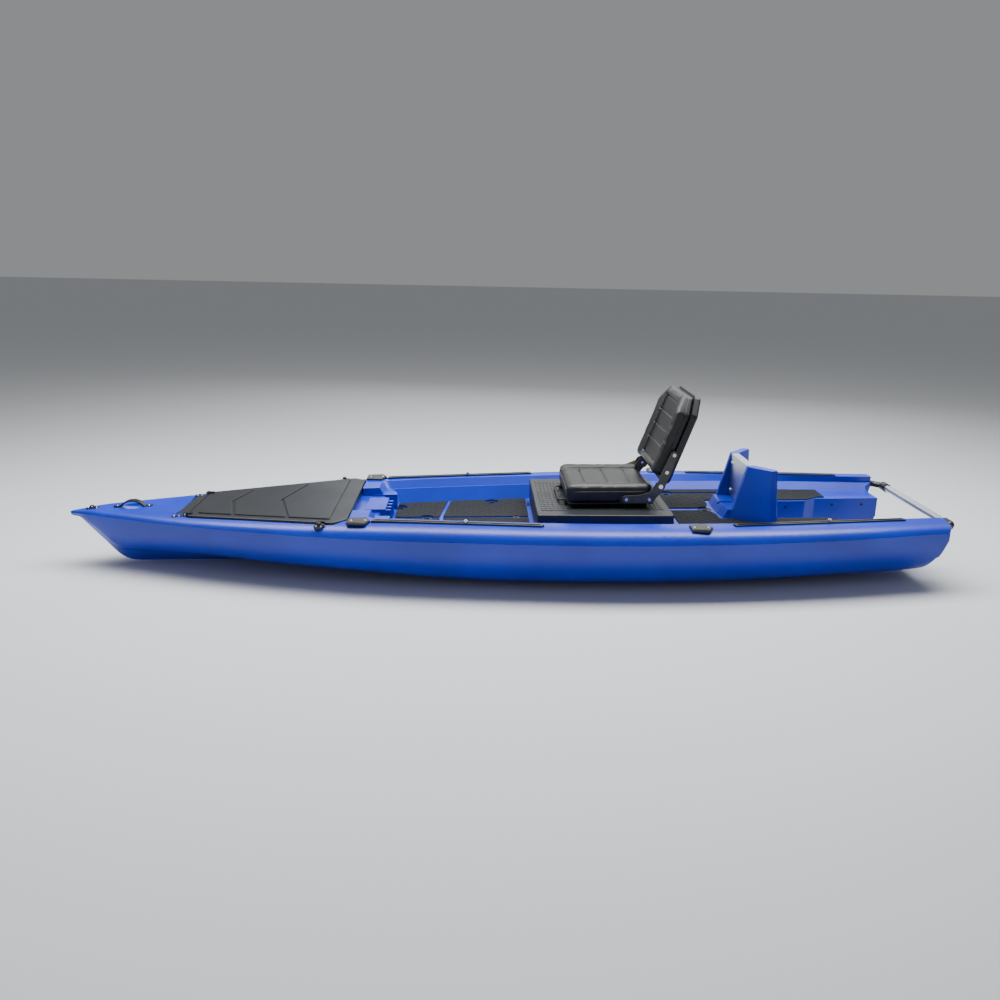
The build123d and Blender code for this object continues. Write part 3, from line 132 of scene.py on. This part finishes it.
def vary_roughness(mat, shader, source, low, high):
    """Lets a noise that is already in the material make some patches glossier than others."""
    ramp = add(mat, "ShaderNodeMapRange", {"To Min": low, "To Max": high}, {"Value": source.outputs["Fac"]})
    join(mat, ramp.outputs["Result"], shader.inputs["Roughness"])

# %% [markdown]
# ## Camera
# The boat is seen from its port side, a little above the gunwales and slightly turned, bow to the left.
# The camera could be aimed by a Track To constraint, but its turn is set here as a matrix, because a lens
# that also rolls a little is easier to place by its own three angles. A small shift keeps the boat in the
# frame.

# %% Camera
BOW_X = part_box("hull")[0].x
CAMERA_FROM_BOW = 1.957
CAMERA_SIDE = -4.059
CAMERA_HEIGHT = 1.532
CAMERA_YAW = 0.102
CAMERA_PITCH = 0.293
CAMERA_ROLL = 0.025
CAMERA_FOCAL = 0.8365         # focal length over sensor width
CAMERA_SHIFT = (-0.06, 0.0)
SENSOR_WIDTH = 36.0           # mm, as a full-frame camera's

camera_data = bpy.data.cameras.new("camera")
camera = bpy.data.objects.new("camera", camera_data)
bpy.context.scene.collection.objects.link(camera)
forward = Vector((sin(CAMERA_YAW) * cos(CAMERA_PITCH), cos(CAMERA_YAW) * cos(CAMERA_PITCH),
                  -sin(CAMERA_PITCH)))
right = Vector((cos(CAMERA_YAW), -sin(CAMERA_YAW), 0))
up = right.cross(forward)
turned_right = right * cos(CAMERA_ROLL) + up * sin(CAMERA_ROLL)
turned_up = up * cos(CAMERA_ROLL) - right * sin(CAMERA_ROLL)
spin = Matrix((turned_right, turned_up, -forward)).transposed().to_4x4()
camera.matrix_world = Matrix.Translation((BOW_X + CAMERA_FROM_BOW, CAMERA_SIDE, CAMERA_HEIGHT)) @ spin
camera_data.sensor_width = SENSOR_WIDTH
camera_data.lens = SENSOR_WIDTH * CAMERA_FOCAL
camera_data.shift_x, camera_data.shift_y = CAMERA_SHIFT
bpy.context.scene.camera = camera
print("camera at", tuple(round(v, 2) for v in camera.matrix_world.translation))

# %% [markdown]
# ## Light and floor
# Boats are shot in a white cove: one very large soft light overhead, weaker ones in front and behind, and
# a pale floor under a pale world. Area lights are used because their size, and so the softness of the
# shadow, is real.

# %% Light and floor
FLOOR_SIZE = 60
FLOOR_DROP = 0.0005           # just under the keel, so that the two faces don't flicker


def area_light(name, place, aim, size, power):
    """A soft box: where it hangs, the point it faces, its two sides in metres and its watts."""
    data = bpy.data.lights.new(name, "AREA")
    data.shape = "RECTANGLE"
    data.size, data.size_y = size
    data.energy = power
    lamp = bpy.data.objects.new(name, data)
    lamp.location = place
    lamp.rotation_euler = (Vector(aim) - Vector(place)).to_track_quat("-Z", "Y").to_euler()
    bpy.context.scene.collection.objects.link(lamp)


area_light("overhead", (0, 0.5, 3.4), (0, 0, 0.2), (7.0, 1.6), 460)
area_light("front", (-4.5, -5.0, 1.6), (0, 0, 0.3), (3.0, 1.2), 12)
area_light("back_rim", (1.0, 4.5, 2.2), (0, 0, 0.4), (6.0, 1.2), 60)

world = bpy.data.worlds.new("cove")
world.use_nodes = True
world.node_tree.nodes["Background"].inputs["Color"].default_value = linear("#F4F6F8")
world.node_tree.nodes["Background"].inputs["Strength"].default_value = 0.30
bpy.context.scene.world = world

bpy.ops.mesh.primitive_plane_add(size=FLOOR_SIZE, location=(0, 0, -FLOOR_DROP))
floor = bpy.context.object
floor.name = "floor"
floor_mat, floor_shader = new_material("white_cove_floor", "#CDD0D3", 0.6)
grain(floor_mat, floor_shader, 20 * MM, 0.3 * MM)
floor.data.materials.append(floor_mat)
print("lights", len(bpy.data.lights), "and a floor of", FLOOR_SIZE, "m")

# %% [markdown]
# ## Moulded plastics
# The hull, the hatch lid and the seat box come out of a rotating mould, and the small fittings out of an
# injection mould. A picture of the surface could be wrapped on, but a noise on the piece's own
# coordinates needs no unwrapping and doesn't stretch over the curved hull. Grains too fine to show are
# drawn coarser than they are.

# %% Rotomoulded polyethylene, blue
# Linear polyethylene: satin and slightly waxy, with a faint orange peel and soft flow clouds in the
# pigment.
hull_blue, shader = new_material("rotomoulded_polyethylene_blue", "#022CB4", 0.36, IOR=1.51)
clouds = mottle(hull_blue, shader, "#0330BE", "#0228A8", 300 * MM)
vary_roughness(hull_blue, shader, clouds, 0.30, 0.42)
grain(hull_blue, shader, 4 * MM, 0.12 * MM)

# %% Rotomoulded polyethylene, charcoal
# The hatch lid and the seat box: the same process, pigmented charcoal. A coarser mould makes it more
# matt.
black_mould, shader = new_material("rotomoulded_polyethylene_charcoal", "#1B1F25", 0.42, IOR=1.51)
clouds = mottle(black_mould, shader, "#1C2127", "#16191E", 250 * MM)
vary_roughness(black_mould, shader, clouds, 0.36, 0.50)
grain(black_mould, shader, 1.6 * MM, 0.12 * MM)

# %% Glass-filled nylon
# Handles, pad eyes, plates, tracks and elbows: near black, and the glass near its skin breaks up the
# gloss.
nylon, shader = new_material("glass_filled_nylon_black", "#17191C", 0.38, IOR=1.53)
clouds = mottle(nylon, shader, "#181A1D", "#121416", 60 * MM)
vary_roughness(nylon, shader, clouds, 0.30, 0.46)
grain(nylon, shader, 0.9 * MM, 0.06 * MM)

# %% [markdown]
# ## Rubber and foam
# Both are soft, dark and matt. What tells them apart is the texture: the hatch gasket is smooth extruded
# rubber, and the deck pads are closed-cell foam, cut through its cells. A high roughness and a bump are
# enough for both.

# %% EPDM rubber
# The hatch gasket: black and dull, with no highlight of its own.
rubber, shader = new_material("epdm_rubber", "#141414", 0.75)
grain(rubber, shader, 2 * MM, 0.1 * MM)

# %% EVA foam
# Deck foam, cut from sheet: quite matt, with cells that show as a fine speckle.
foam, shader = new_material("eva_foam_charcoal", "#1C2024", 0.86, Specular_IOR_Level=0.3)
mottle(foam, shader, "#1F2327", "#181B1E", 30 * MM)
grain(foam, shader, 1.2 * MM, 0.2 * MM)

# %% [markdown]
# ## Metals
# The stern bar and clamp plate are aluminium, the bolts and inserts stainless steel, and the seat's own
# frame is painted steel. A bare metal is Metallic 1 with the default IOR, and only its roughness says how
# it was finished. Paint is a plastic over the metal, so a painted steel has no Metallic at all.

# %% Anodised aluminium
# Extruded tube and folded plate, etched before anodising: satin, with faint lines along the extrusion.
aluminium, shader = new_material("satin_anodised_aluminium", "#C9CED2", 0.34, Metallic=1.0)
lines = grain(aluminium, shader, 1.2 * MM, 0.03 * MM, stretch=(1, 0.03, 1))
vary_roughness(aluminium, shader, lines, 0.28, 0.42)

# %% Stainless steel
# Bolt heads and washers: bright, with the light scuffs that a spanner leaves.
stainless, shader = new_material("polished_stainless_steel", "#D6D6D3", 0.22, Metallic=1.0)
marks = grain(stainless, shader, 1 * MM, 0.02 * MM)
vary_roughness(stainless, shader, marks, 0.16, 0.30)

# %% Painted steels
# Powder coat flows into a fine orange peel; the brackets are olive grey, the rails black, the lever
# beige.
bracket_paint, shader = new_material("powder_coat_olive_grey", "#4C4C42", 0.42, Coat_Weight=0.15)
mottle(bracket_paint, shader, "#515146", "#44443A", 50 * MM)
grain(bracket_paint, shader, 1.8 * MM, 0.1 * MM)
rail_paint, shader = new_material("powder_coat_black", "#16181A", 0.40)
grain(rail_paint, shader, 1.8 * MM, 0.1 * MM)
lever_paint, shader = new_material("satin_paint_beige", "#B9AE93", 0.38)
mottle(lever_paint, shader, "#BFB49A", "#A99E84", 40 * MM)
grain(lever_paint, shader, 1.5 * MM, 0.08 * MM)

# %% Sealed board
# The motor mount's board: grey-brown composite under a dull sealer.
board_finish, shader = new_material("sealed_composite_board", "#4A4740", 0.55)
grain(board_finish, shader, 3 * MM, 0.1 * MM)

# %% [markdown]
# ## Seat vinyl
# The cushions are covered in vinyl leather, which a hot roller embosses with a pebble pattern. Noise
# would give hills without valleys, so the pebbles are Voronoi cells, and the distance to a cell's edge
# gives the creases.

# %% Vinyl leather
# Black and lightly glossy, with pebbles a little over two millimetres across that break the highlight up.
PEBBLE = 2.2 * MM
vinyl, shader = new_material("embossed_black_vinyl", "#0A0D11", 0.34, Specular_IOR_Level=0.6)
mottle(vinyl, shader, "#101316", "#0B0C0E", 100 * MM)
place = object_coordinates(vinyl)
pebbles = add(vinyl, "ShaderNodeTexVoronoi", {"feature": "DISTANCE_TO_EDGE", "Scale": 1 / PEBBLE},
              {"Vector": place.outputs["Vector"]})
edges = add(vinyl, "ShaderNodeMapRange", {"From Max": 0.12}, {"Value": pebbles.outputs["Distance"]})
pebble_bump = add(vinyl, "ShaderNodeBump", {"Distance": 0.25 * MM, "Strength": 0.8},
                  {"Height": edges.outputs["Result"]})
join(vinyl, pebble_bump.outputs["Normal"], shader.inputs["Normal"])

# %% Finishes for the record's slots
FINISHES = {"hull_blue": hull_blue, "moulded_black": black_mould, "fitting_black": nylon,
            "gasket_rubber": rubber, "deck_foam": foam, "aluminium": aluminium, "board": board_finish,
            "stainless": stainless, "rail_steel": rail_paint, "bracket_steel": bracket_paint,
            "lever_beige": lever_paint, "seat_vinyl": vinyl}
for part in frame["record"]["subparts"]:
    node = NODES[part["node"]]
    node.data.materials.clear()
    node.data.materials.append(FINISHES[part["material_slot"]])
print("finishes", len(FINISHES))

# %% [markdown]
# ## Seat cushions
# Both are foam blocks in tight vinyl. The CAD block has the right size but a dead shape, so each copy is
# remeshed to even quads, blown up a little as cloth under pressure, and only then pressed in along its
# seams, because a seam is narrower than the remesh can hold. Sculpting would look as good, but a press
# along named lines is exact.

# %% Helpers for a cushion's skin
SIM_FRAMES = 20
SKIN_VOXEL = 0.006
SKIN_CAP = 0.007              # the furthest the skin may move when it is blown up
SKIN_PRESSURE = 4.0
SKIN_STIFFNESS = 25
SKIN_BENDING = 2.0
MERGE = 0.00002


def only(piece):
    """Selects one object and makes it active."""
    bpy.ops.object.select_all(action="DESELECT")
    piece.select_set(True)
    bpy.context.view_layer.objects.active = piece


def apply_modifier(piece, kind, **settings):
    """Adds a modifier, sets it and applies it."""
    only(piece)
    modifier = piece.modifiers.new(kind.lower(), kind)
    for key, value in settings.items():
        setattr(modifier, key, value)
    bpy.ops.object.modifier_apply(modifier=modifier.name)


def copy_of(node, name):
    """A merged copy of a CAD node's mesh, which itself stays as it is."""
    piece = bpy.data.objects.new(name, NODES[node].data.copy())
    bpy.context.scene.collection.objects.link(piece)
    only(piece)
    bpy.ops.object.mode_set(mode="EDIT")
    bpy.ops.mesh.select_all(action="SELECT")
    bpy.ops.mesh.remove_doubles(threshold=MERGE)
    bpy.ops.object.mode_set(mode="OBJECT")
    return piece


def puff(piece):
    """Blows the skin up as cloth, but lets no point move further than the cap."""
    apply_modifier(piece, "REMESH", mode="VOXEL", voxel_size=SKIN_VOXEL)
    apply_modifier(piece, "SMOOTH", factor=0.5, iterations=3)
    before = [v.co.copy() for v in piece.data.vertices]
    only(piece)
    modifier = piece.modifiers.new("cloth", "CLOTH")
    cloth = modifier.settings
    cloth.use_pressure = True
    cloth.uniform_pressure_force = SKIN_PRESSURE
    cloth.effector_weights.gravity = 0.0
    cloth.tension_stiffness = cloth.compression_stiffness = SKIN_STIFFNESS
    cloth.bending_stiffness = SKIN_BENDING
    for step in range(1, SIM_FRAMES + 1):
        bpy.context.scene.frame_set(step)
    bpy.ops.object.modifier_apply(modifier=modifier.name)
    bpy.context.scene.frame_set(1)
    moved = 0.0
    for vertex, start in zip(piece.data.vertices, before):
        shift = vertex.co - start
        if shift.length > SKIN_CAP:
            vertex.co = start + shift.normalized() * SKIN_CAP
        moved = max(moved, min(shift.length, SKIN_CAP))
    apply_modifier(piece, "SUBSURF", levels=1, render_levels=1)
    print(piece.name, "vertices", len(piece.data.vertices), "skin moved up to mm", round(moved * 1000, 1))


def dip(distance, half_width):
    """0 outside a seam and 1 in its middle, with a rounded shoulder."""
    t = min(abs(distance) / half_width, 1.0)
    return (1 - t * t) ** 2


def soft_step(value, low, high):
    """0 below low and 1 above high, with a smooth rise between them."""
    t = min(max((value - low) / (high - low), 0.0), 1.0)
    return t * t * (3 - 2 * t)


def finish_cushion(piece, node, body):
    """Gives a cushion its vinyl and smooth shading, hides the CAD node that it replaces and hangs it on the body
    that carries it.
    """
    only(piece)
    bpy.ops.object.shade_smooth()
    piece.data.materials.clear()
    piece.data.materials.append(vinyl)
    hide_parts(node)
    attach(piece, body)

# %% [markdown]
# ## The seat cushion's seams
# A tractor seat has a low middle panel, crossed by three seams, between two raised bolsters. Each vertex
# near the top is lowered by the sum of a few simple curves, one for each thing that the upholsterer did.

# %% Seat cushion
SEAT_LOW, SEAT_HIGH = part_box("seat_cushion")
PANEL_HALF = 0.150            # middle panel, out to the bolster seams
PANEL_SINK = 0.012
PANEL_BLEND = 0.012
FRONT_ROLL = 0.09             # the panel sinks less over this length at the front edge
BOLSTER_RISE = 0.004
CROWN_RISE = 0.003            # each flute is fuller in its middle
FLUTES = (0.100, 0.215, 0.330)    # cross seams, from the front of the cushion
SEAM_HALF = 0.006
SEAM_DEPTH = 0.006

seat = copy_of("seat_cushion", "seat_cushion_vinyl")
puff(seat)
crowns = [0.0] + list(FLUTES) + [SEAT_HIGH.x - SEAT_LOW.x]
for vertex in seat.data.vertices:
    x, y, z = vertex.co
    top = soft_step(z, SEAT_HIGH.z - 0.030, SEAT_HIGH.z - 0.012)
    if top <= 0:
        continue
    along = x - SEAT_LOW.x
    inside = 1 - soft_step(abs(y), PANEL_HALF - PANEL_BLEND, PANEL_HALF + PANEL_BLEND)
    drop = PANEL_SINK * inside * (1 - 0.35 * dip(along, FRONT_ROLL))
    drop -= BOLSTER_RISE * soft_step(abs(y), PANEL_HALF + 0.005, PANEL_HALF + 0.045)
    drop += SEAM_DEPTH * dip(abs(y) - PANEL_HALF, SEAM_HALF) * soft_step(along, 0.0, 0.02)
    for start, end in zip(crowns, crowns[1:]):
        if start <= along <= end:
            drop -= CROWN_RISE * inside * sin(pi * (along - start) / (end - start))
    for flute in FLUTES:
        drop += SEAM_DEPTH * dip(along - flute, SEAM_HALF) * inside
    vertex.co.z -= drop * top
finish_cushion(seat, "seat_cushion", "seat_base")

# %% [markdown]
# ## The back cushion's seams
# The back has the same bolsters and flutes, with its panel closed at the top and bottom too. It leans, so
# it is pressed in along its own tilted axes: v runs forward out of the seat back and u runs up it.

# %% Back cushion
recline = next(j for j in frame["joints"] if j["name"] == "backrest_recline")
PIVOT = Vector(recline["pos_m"])
BACK_TILT = radians(20)
BACK_FRONT = (0.022, 0.040)   # v where the pressing begins and where it is full
BACK_PANEL_HALF = 0.135
BACK_PANEL_LOW, BACK_PANEL_HIGH = 0.085, 0.392
BACK_PANEL_BLEND = 0.02
BACK_SINK = 0.012
BACK_BOLSTER_RISE = 0.010
BACK_FLUTES = (0.165, 0.240, 0.316)
BACK_SEAM_DEPTH = 0.007
BACK_SEAM_END = 0.012         # a seam fades out over this length

to_back = Matrix.Rotation(-BACK_TILT, 4, "Y") @ Matrix.Translation(-PIVOT)
from_back = to_back.inverted()


def within(value, low, high, blend):
    """1 between low and high, and 0 beyond a soft edge of the given width on both sides."""
    return soft_step(value, low - blend, low) * (1 - soft_step(value, high, high + blend))


back = copy_of("backrest_cushion", "backrest_cushion_vinyl")
puff(back)
for vertex in back.data.vertices:
    spot = to_back @ vertex.co
    v, y, u = -spot.x, spot.y, spot.z
    front = soft_step(v, *BACK_FRONT)
    if front <= 0:
        continue
    across_panel = 1 - soft_step(abs(y), BACK_PANEL_HALF - 0.006, BACK_PANEL_HALF + BACK_PANEL_BLEND)
    panel = across_panel * within(u, BACK_PANEL_LOW, BACK_PANEL_HIGH, BACK_PANEL_BLEND)
    in_height = within(u, BACK_PANEL_LOW, BACK_PANEL_HIGH, BACK_SEAM_END)
    in_width = 1 - soft_step(abs(y), BACK_PANEL_HALF, BACK_PANEL_HALF + BACK_SEAM_END)
    drop = BACK_SINK * panel
    drop -= BACK_BOLSTER_RISE * soft_step(abs(y), BACK_PANEL_HALF + 0.01, BACK_PANEL_HALF + 0.06)
    drop += BACK_SEAM_DEPTH * dip(abs(y) - BACK_PANEL_HALF, SEAM_HALF) * in_height
    for edge in (BACK_PANEL_LOW, BACK_PANEL_HIGH):
        drop += BACK_SEAM_DEPTH * dip(u - edge, SEAM_HALF) * in_width
    for flute in BACK_FLUTES:
        drop += BACK_SEAM_DEPTH * dip(u - flute, SEAM_HALF) * panel
    vertex.co = from_back @ Vector((-(v - drop * front), y, u))
finish_cushion(back, "backrest_cushion", "backrest")

# %% [markdown]
# ## Piping
# A thin welt covers the seam where a cushion's face meets its sides. It could be a bevelled curve drawn
# by hand, but here its line is found by shooting rays at the finished cushion from outside, so that it
# lies on the vinyl whatever shape the foam took.

# %% Piping
WELT_RADIUS = 0.0032
WELT_SIDES = 8
WELT_LIFT = 0.2               # how far the welt stands off the vinyl, in radii
RAY_START = 0.6
RING_STEPS = 160
SEAT_SEAM_DROP = 0.026        # from the top of the cushion down to its seam
BACK_SEAM_FORWARD = 0.020
BACK_MIDDLE = 0.235


def tube_mesh(name, points, radius):
    """A closed round tube through a ring of points."""
    mesh = bpy.data.meshes.new(name)
    shape = bmesh.new()
    turns = [2 * pi * k / WELT_SIDES for k in range(WELT_SIDES)]
    rings = []
    count = len(points)
    for i, point in enumerate(points):
        ahead = (points[(i + 1) % count] - points[i - 1]).normalized()
        side = ahead.orthogonal().normalized() if not rings else (last - ahead * last.dot(ahead)).normalized()
        last = side
        other = ahead.cross(side)
        rings.append([shape.verts.new(point + (side * cos(t) + other * sin(t)) * radius) for t in turns])
    for i in range(count):
        ring, after = rings[i], rings[(i + 1) % count]
        if i == count - 1:
            turn = min(range(WELT_SIDES), key=lambda s: (ring[0].co - after[s].co).length)
            after = after[turn:] + after[:turn]
        for k in range(WELT_SIDES):
            onward = (k + 1) % WELT_SIDES
            shape.faces.new((ring[k], ring[onward], after[onward], after[k]))
    bmesh.ops.recalc_face_normals(shape, faces=shape.faces)
    shape.to_mesh(mesh)
    shape.free()
    piece = bpy.data.objects.new(name, mesh)
    bpy.context.scene.collection.objects.link(piece)
    return piece


def welt(name, cushion, rays, body):
    """rays gives (point outside, direction inwards); the welt lies where they meet the cushion."""
    points = []
    for start, inward in rays:
        hit, place, normal, index = cushion.ray_cast(start, inward)
        if hit:
            points.append(place + normal * WELT_RADIUS * WELT_LIFT)
    count = len(points)
    smooth_points = [(points[i - 2] + points[i - 1] + points[i] + points[(i + 1) % count]
                      + points[(i + 2) % count]) / 5 for i in range(count)]
    piece = tube_mesh(name, smooth_points, WELT_RADIUS)
    only(piece)
    bpy.ops.object.shade_smooth()
    piece.data.materials.append(vinyl)
    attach(piece, body)
    print(name, "points", count)


seat_middle = (SEAT_LOW + SEAT_HIGH) / 2
seat_centre = Vector((seat_middle.x, seat_middle.y, SEAT_HIGH.z - SEAT_SEAM_DROP))
back_centre = Vector((-BACK_SEAM_FORWARD, 0, BACK_MIDDLE))
seat_rays, back_rays = [], []
for i in range(RING_STEPS):
    turn = 2 * pi * i / RING_STEPS
    outward = Vector((cos(turn), sin(turn), 0))
    seat_rays.append((seat_centre + outward * RAY_START, -outward))
    outward = Vector((0, cos(turn), sin(turn)))
    back_rays.append((from_back @ (back_centre + outward * RAY_START),
                      (from_back.to_3x3() @ -outward).normalized()))
bpy.context.view_layer.update()
welt("seat_cushion_piping", seat, seat_rays, "seat_base")
welt("backrest_piping", back, back_rays, "backrest")

# %% [markdown]
# ## Grooved foam pads
# Deck foam is routed with two families of shallow V grooves that cross in long diamonds. A Boolean with
# hundreds of cutters would be slow and fragile. The pad is cut along each groove with a plane instead,
# which keeps its outline and its scupper holes, and then the middle of each groove is pushed in.

# %% Groove the pads
DIAMOND_LONG = 0.056          # along the boat
DIAMOND_WIDE = 0.030
GROOVE_HALF = 0.0022
GROOVE_DEPTH = 0.0018
ON_LINE = 0.00002             # a vertex this near a groove's middle is on it
ON_TOP = 0.0001


def groove_lines(low, high):
    """Both families of lines over a pad's box, each as its normal and its distance from the origin."""
    lines = []
    for sign in (1, -1):
        direction = Vector((DIAMOND_LONG, sign * DIAMOND_WIDE, 0)).normalized()
        normal = Vector((-direction.y, direction.x, 0))
        pitch = abs(Vector((DIAMOND_LONG, 0, 0)).dot(normal))
        corners = [Vector((x, y, 0)).dot(normal) for x in (low.x, high.x) for y in (low.y, high.y)]
        first = int(min(corners) / pitch) - 1
        last = int(max(corners) / pitch) + 1
        lines += [(normal, k * pitch) for k in range(first, last + 1)]
    return lines


def cut_top(shape, normal, offset):
    """Splits the pad's top faces along one line."""
    near = []
    for face in shape.faces:
        reach = [v.co.dot(normal) for v in face.verts]
        if face.normal.z > 0.9 and min(reach) < offset < max(reach):
            near.append(face)
    parts = near + list({e for f in near for e in f.edges}) + list({v for f in near for v in f.verts})
    bmesh.ops.bisect_plane(shape, geom=parts, plane_co=normal * offset, plane_no=normal, dist=1e-6)


def grooved_pad(node):
    """A copy of a foam pad with its grooves cut in, which takes the plain pad's place."""
    piece = copy_of(node, node + "_grooved")
    low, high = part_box(node)
    lines = groove_lines(low, high)
    shape = bmesh.new()
    shape.from_mesh(piece.data)
    bmesh.ops.dissolve_limit(shape, angle_limit=0.01, verts=shape.verts, edges=shape.edges)
    for normal, offset in lines:
        for side in (-GROOVE_HALF, 0.0, GROOVE_HALF):
            cut_top(shape, normal, offset + side)
    shape.verts.ensure_lookup_table()
    for vertex in shape.verts:
        on_rim = any(abs(f.normal.z) < 0.5 for f in vertex.link_faces)
        if vertex.co.z < high.z - ON_TOP or on_rim:
            continue
        if any(abs(vertex.co.dot(normal) - offset) < ON_LINE for normal, offset in lines):
            vertex.co.z -= GROOVE_DEPTH
    bmesh.ops.triangulate(shape, faces=[f for f in shape.faces if len(f.verts) > 4])
    shape.to_mesh(piece.data)
    shape.free()
    piece.data.materials.clear()
    piece.data.materials.append(foam)
    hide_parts(node)
    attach(piece, "hull")
    print(piece.name, "faces", len(piece.data.polygons))


for pad in ("floor_pad_fore", "floor_pad_mid", "deck_pad"):
    for side in ("port", "starboard"):
        grooved_pad(f"{pad}_{side}")

# %% [markdown]
# ## Raised grid on the seat box
# The moulded lid of the box has small raised rectangles for grip. They could be a bump in the material,
# but they catch the light along their edges, so one tile is modelled and copied over the top, leaving out
# the places under the seat rails.

# %% Box grid
BOX_LOW, BOX_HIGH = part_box("seat_box")
TILE_PITCH = (0.020, 0.032)
TILE_GAP = 0.004
TILE_RISE = 0.0022
TILE_BEVEL = 0.0009
GRID_HALF = 0.25
GRID_MARGIN = 0.022
RAIL_WIDTH = 0.034
RAIL_CLEAR = (0.012, 0.018)   # bare strip round a rail, along and across


def grid_tile():
    """One raised rectangle, half of it sunk in the lid."""
    bpy.ops.object.select_all(action="DESELECT")
    bpy.ops.mesh.primitive_cube_add(size=1, location=(0, 0, 0))
    tile = bpy.context.object
    tile.dimensions = (TILE_PITCH[0] - TILE_GAP, TILE_PITCH[1] - TILE_GAP, TILE_RISE * 2)
    bpy.ops.object.transform_apply(location=False, rotation=False, scale=True)
    apply_modifier(tile, "BEVEL", width=TILE_BEVEL, segments=1)
    return tile


RAIL_LOW, RAIL_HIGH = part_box("slide_rails_lower")


def under_rail(x, y):
    """Whether a tile would run under one of the two seat rails."""
    across = RAIL_HIGH.y - RAIL_WIDTH - RAIL_CLEAR[1] < abs(y) < RAIL_HIGH.y + RAIL_CLEAR[1]
    return across and RAIL_LOW.x - RAIL_CLEAR[0] < x < RAIL_HIGH.x + RAIL_CLEAR[0]


tile = grid_tile()
columns = int((BOX_HIGH.x - BOX_LOW.x - 2 * GRID_MARGIN) / TILE_PITCH[0])
rows = int(2 * GRID_HALF / TILE_PITCH[1])
grid = bmesh.new()
tiles = 0
for i in range(columns):
    for j in range(rows + 1):
        x = BOX_LOW.x + GRID_MARGIN + TILE_PITCH[0] * (i + 0.5)
        y = TILE_PITCH[1] * (j - rows / 2)
        if under_rail(x, y):
            continue
        start = len(grid.verts)
        grid.from_mesh(tile.data)
        grid.verts.ensure_lookup_table()
        for vertex in grid.verts[start:]:
            vertex.co += Vector((x, y, BOX_HIGH.z))
        tiles += 1
grid_mesh = bpy.data.meshes.new("seat_box_grid")
grid.to_mesh(grid_mesh)
grid.free()
bpy.data.objects.remove(tile)
box_grid = bpy.data.objects.new("seat_box_grid", grid_mesh)
bpy.context.scene.collection.objects.link(box_grid)
box_grid.data.materials.append(black_mould)
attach(box_grid, "seat_box")
print("grid tiles", tiles)
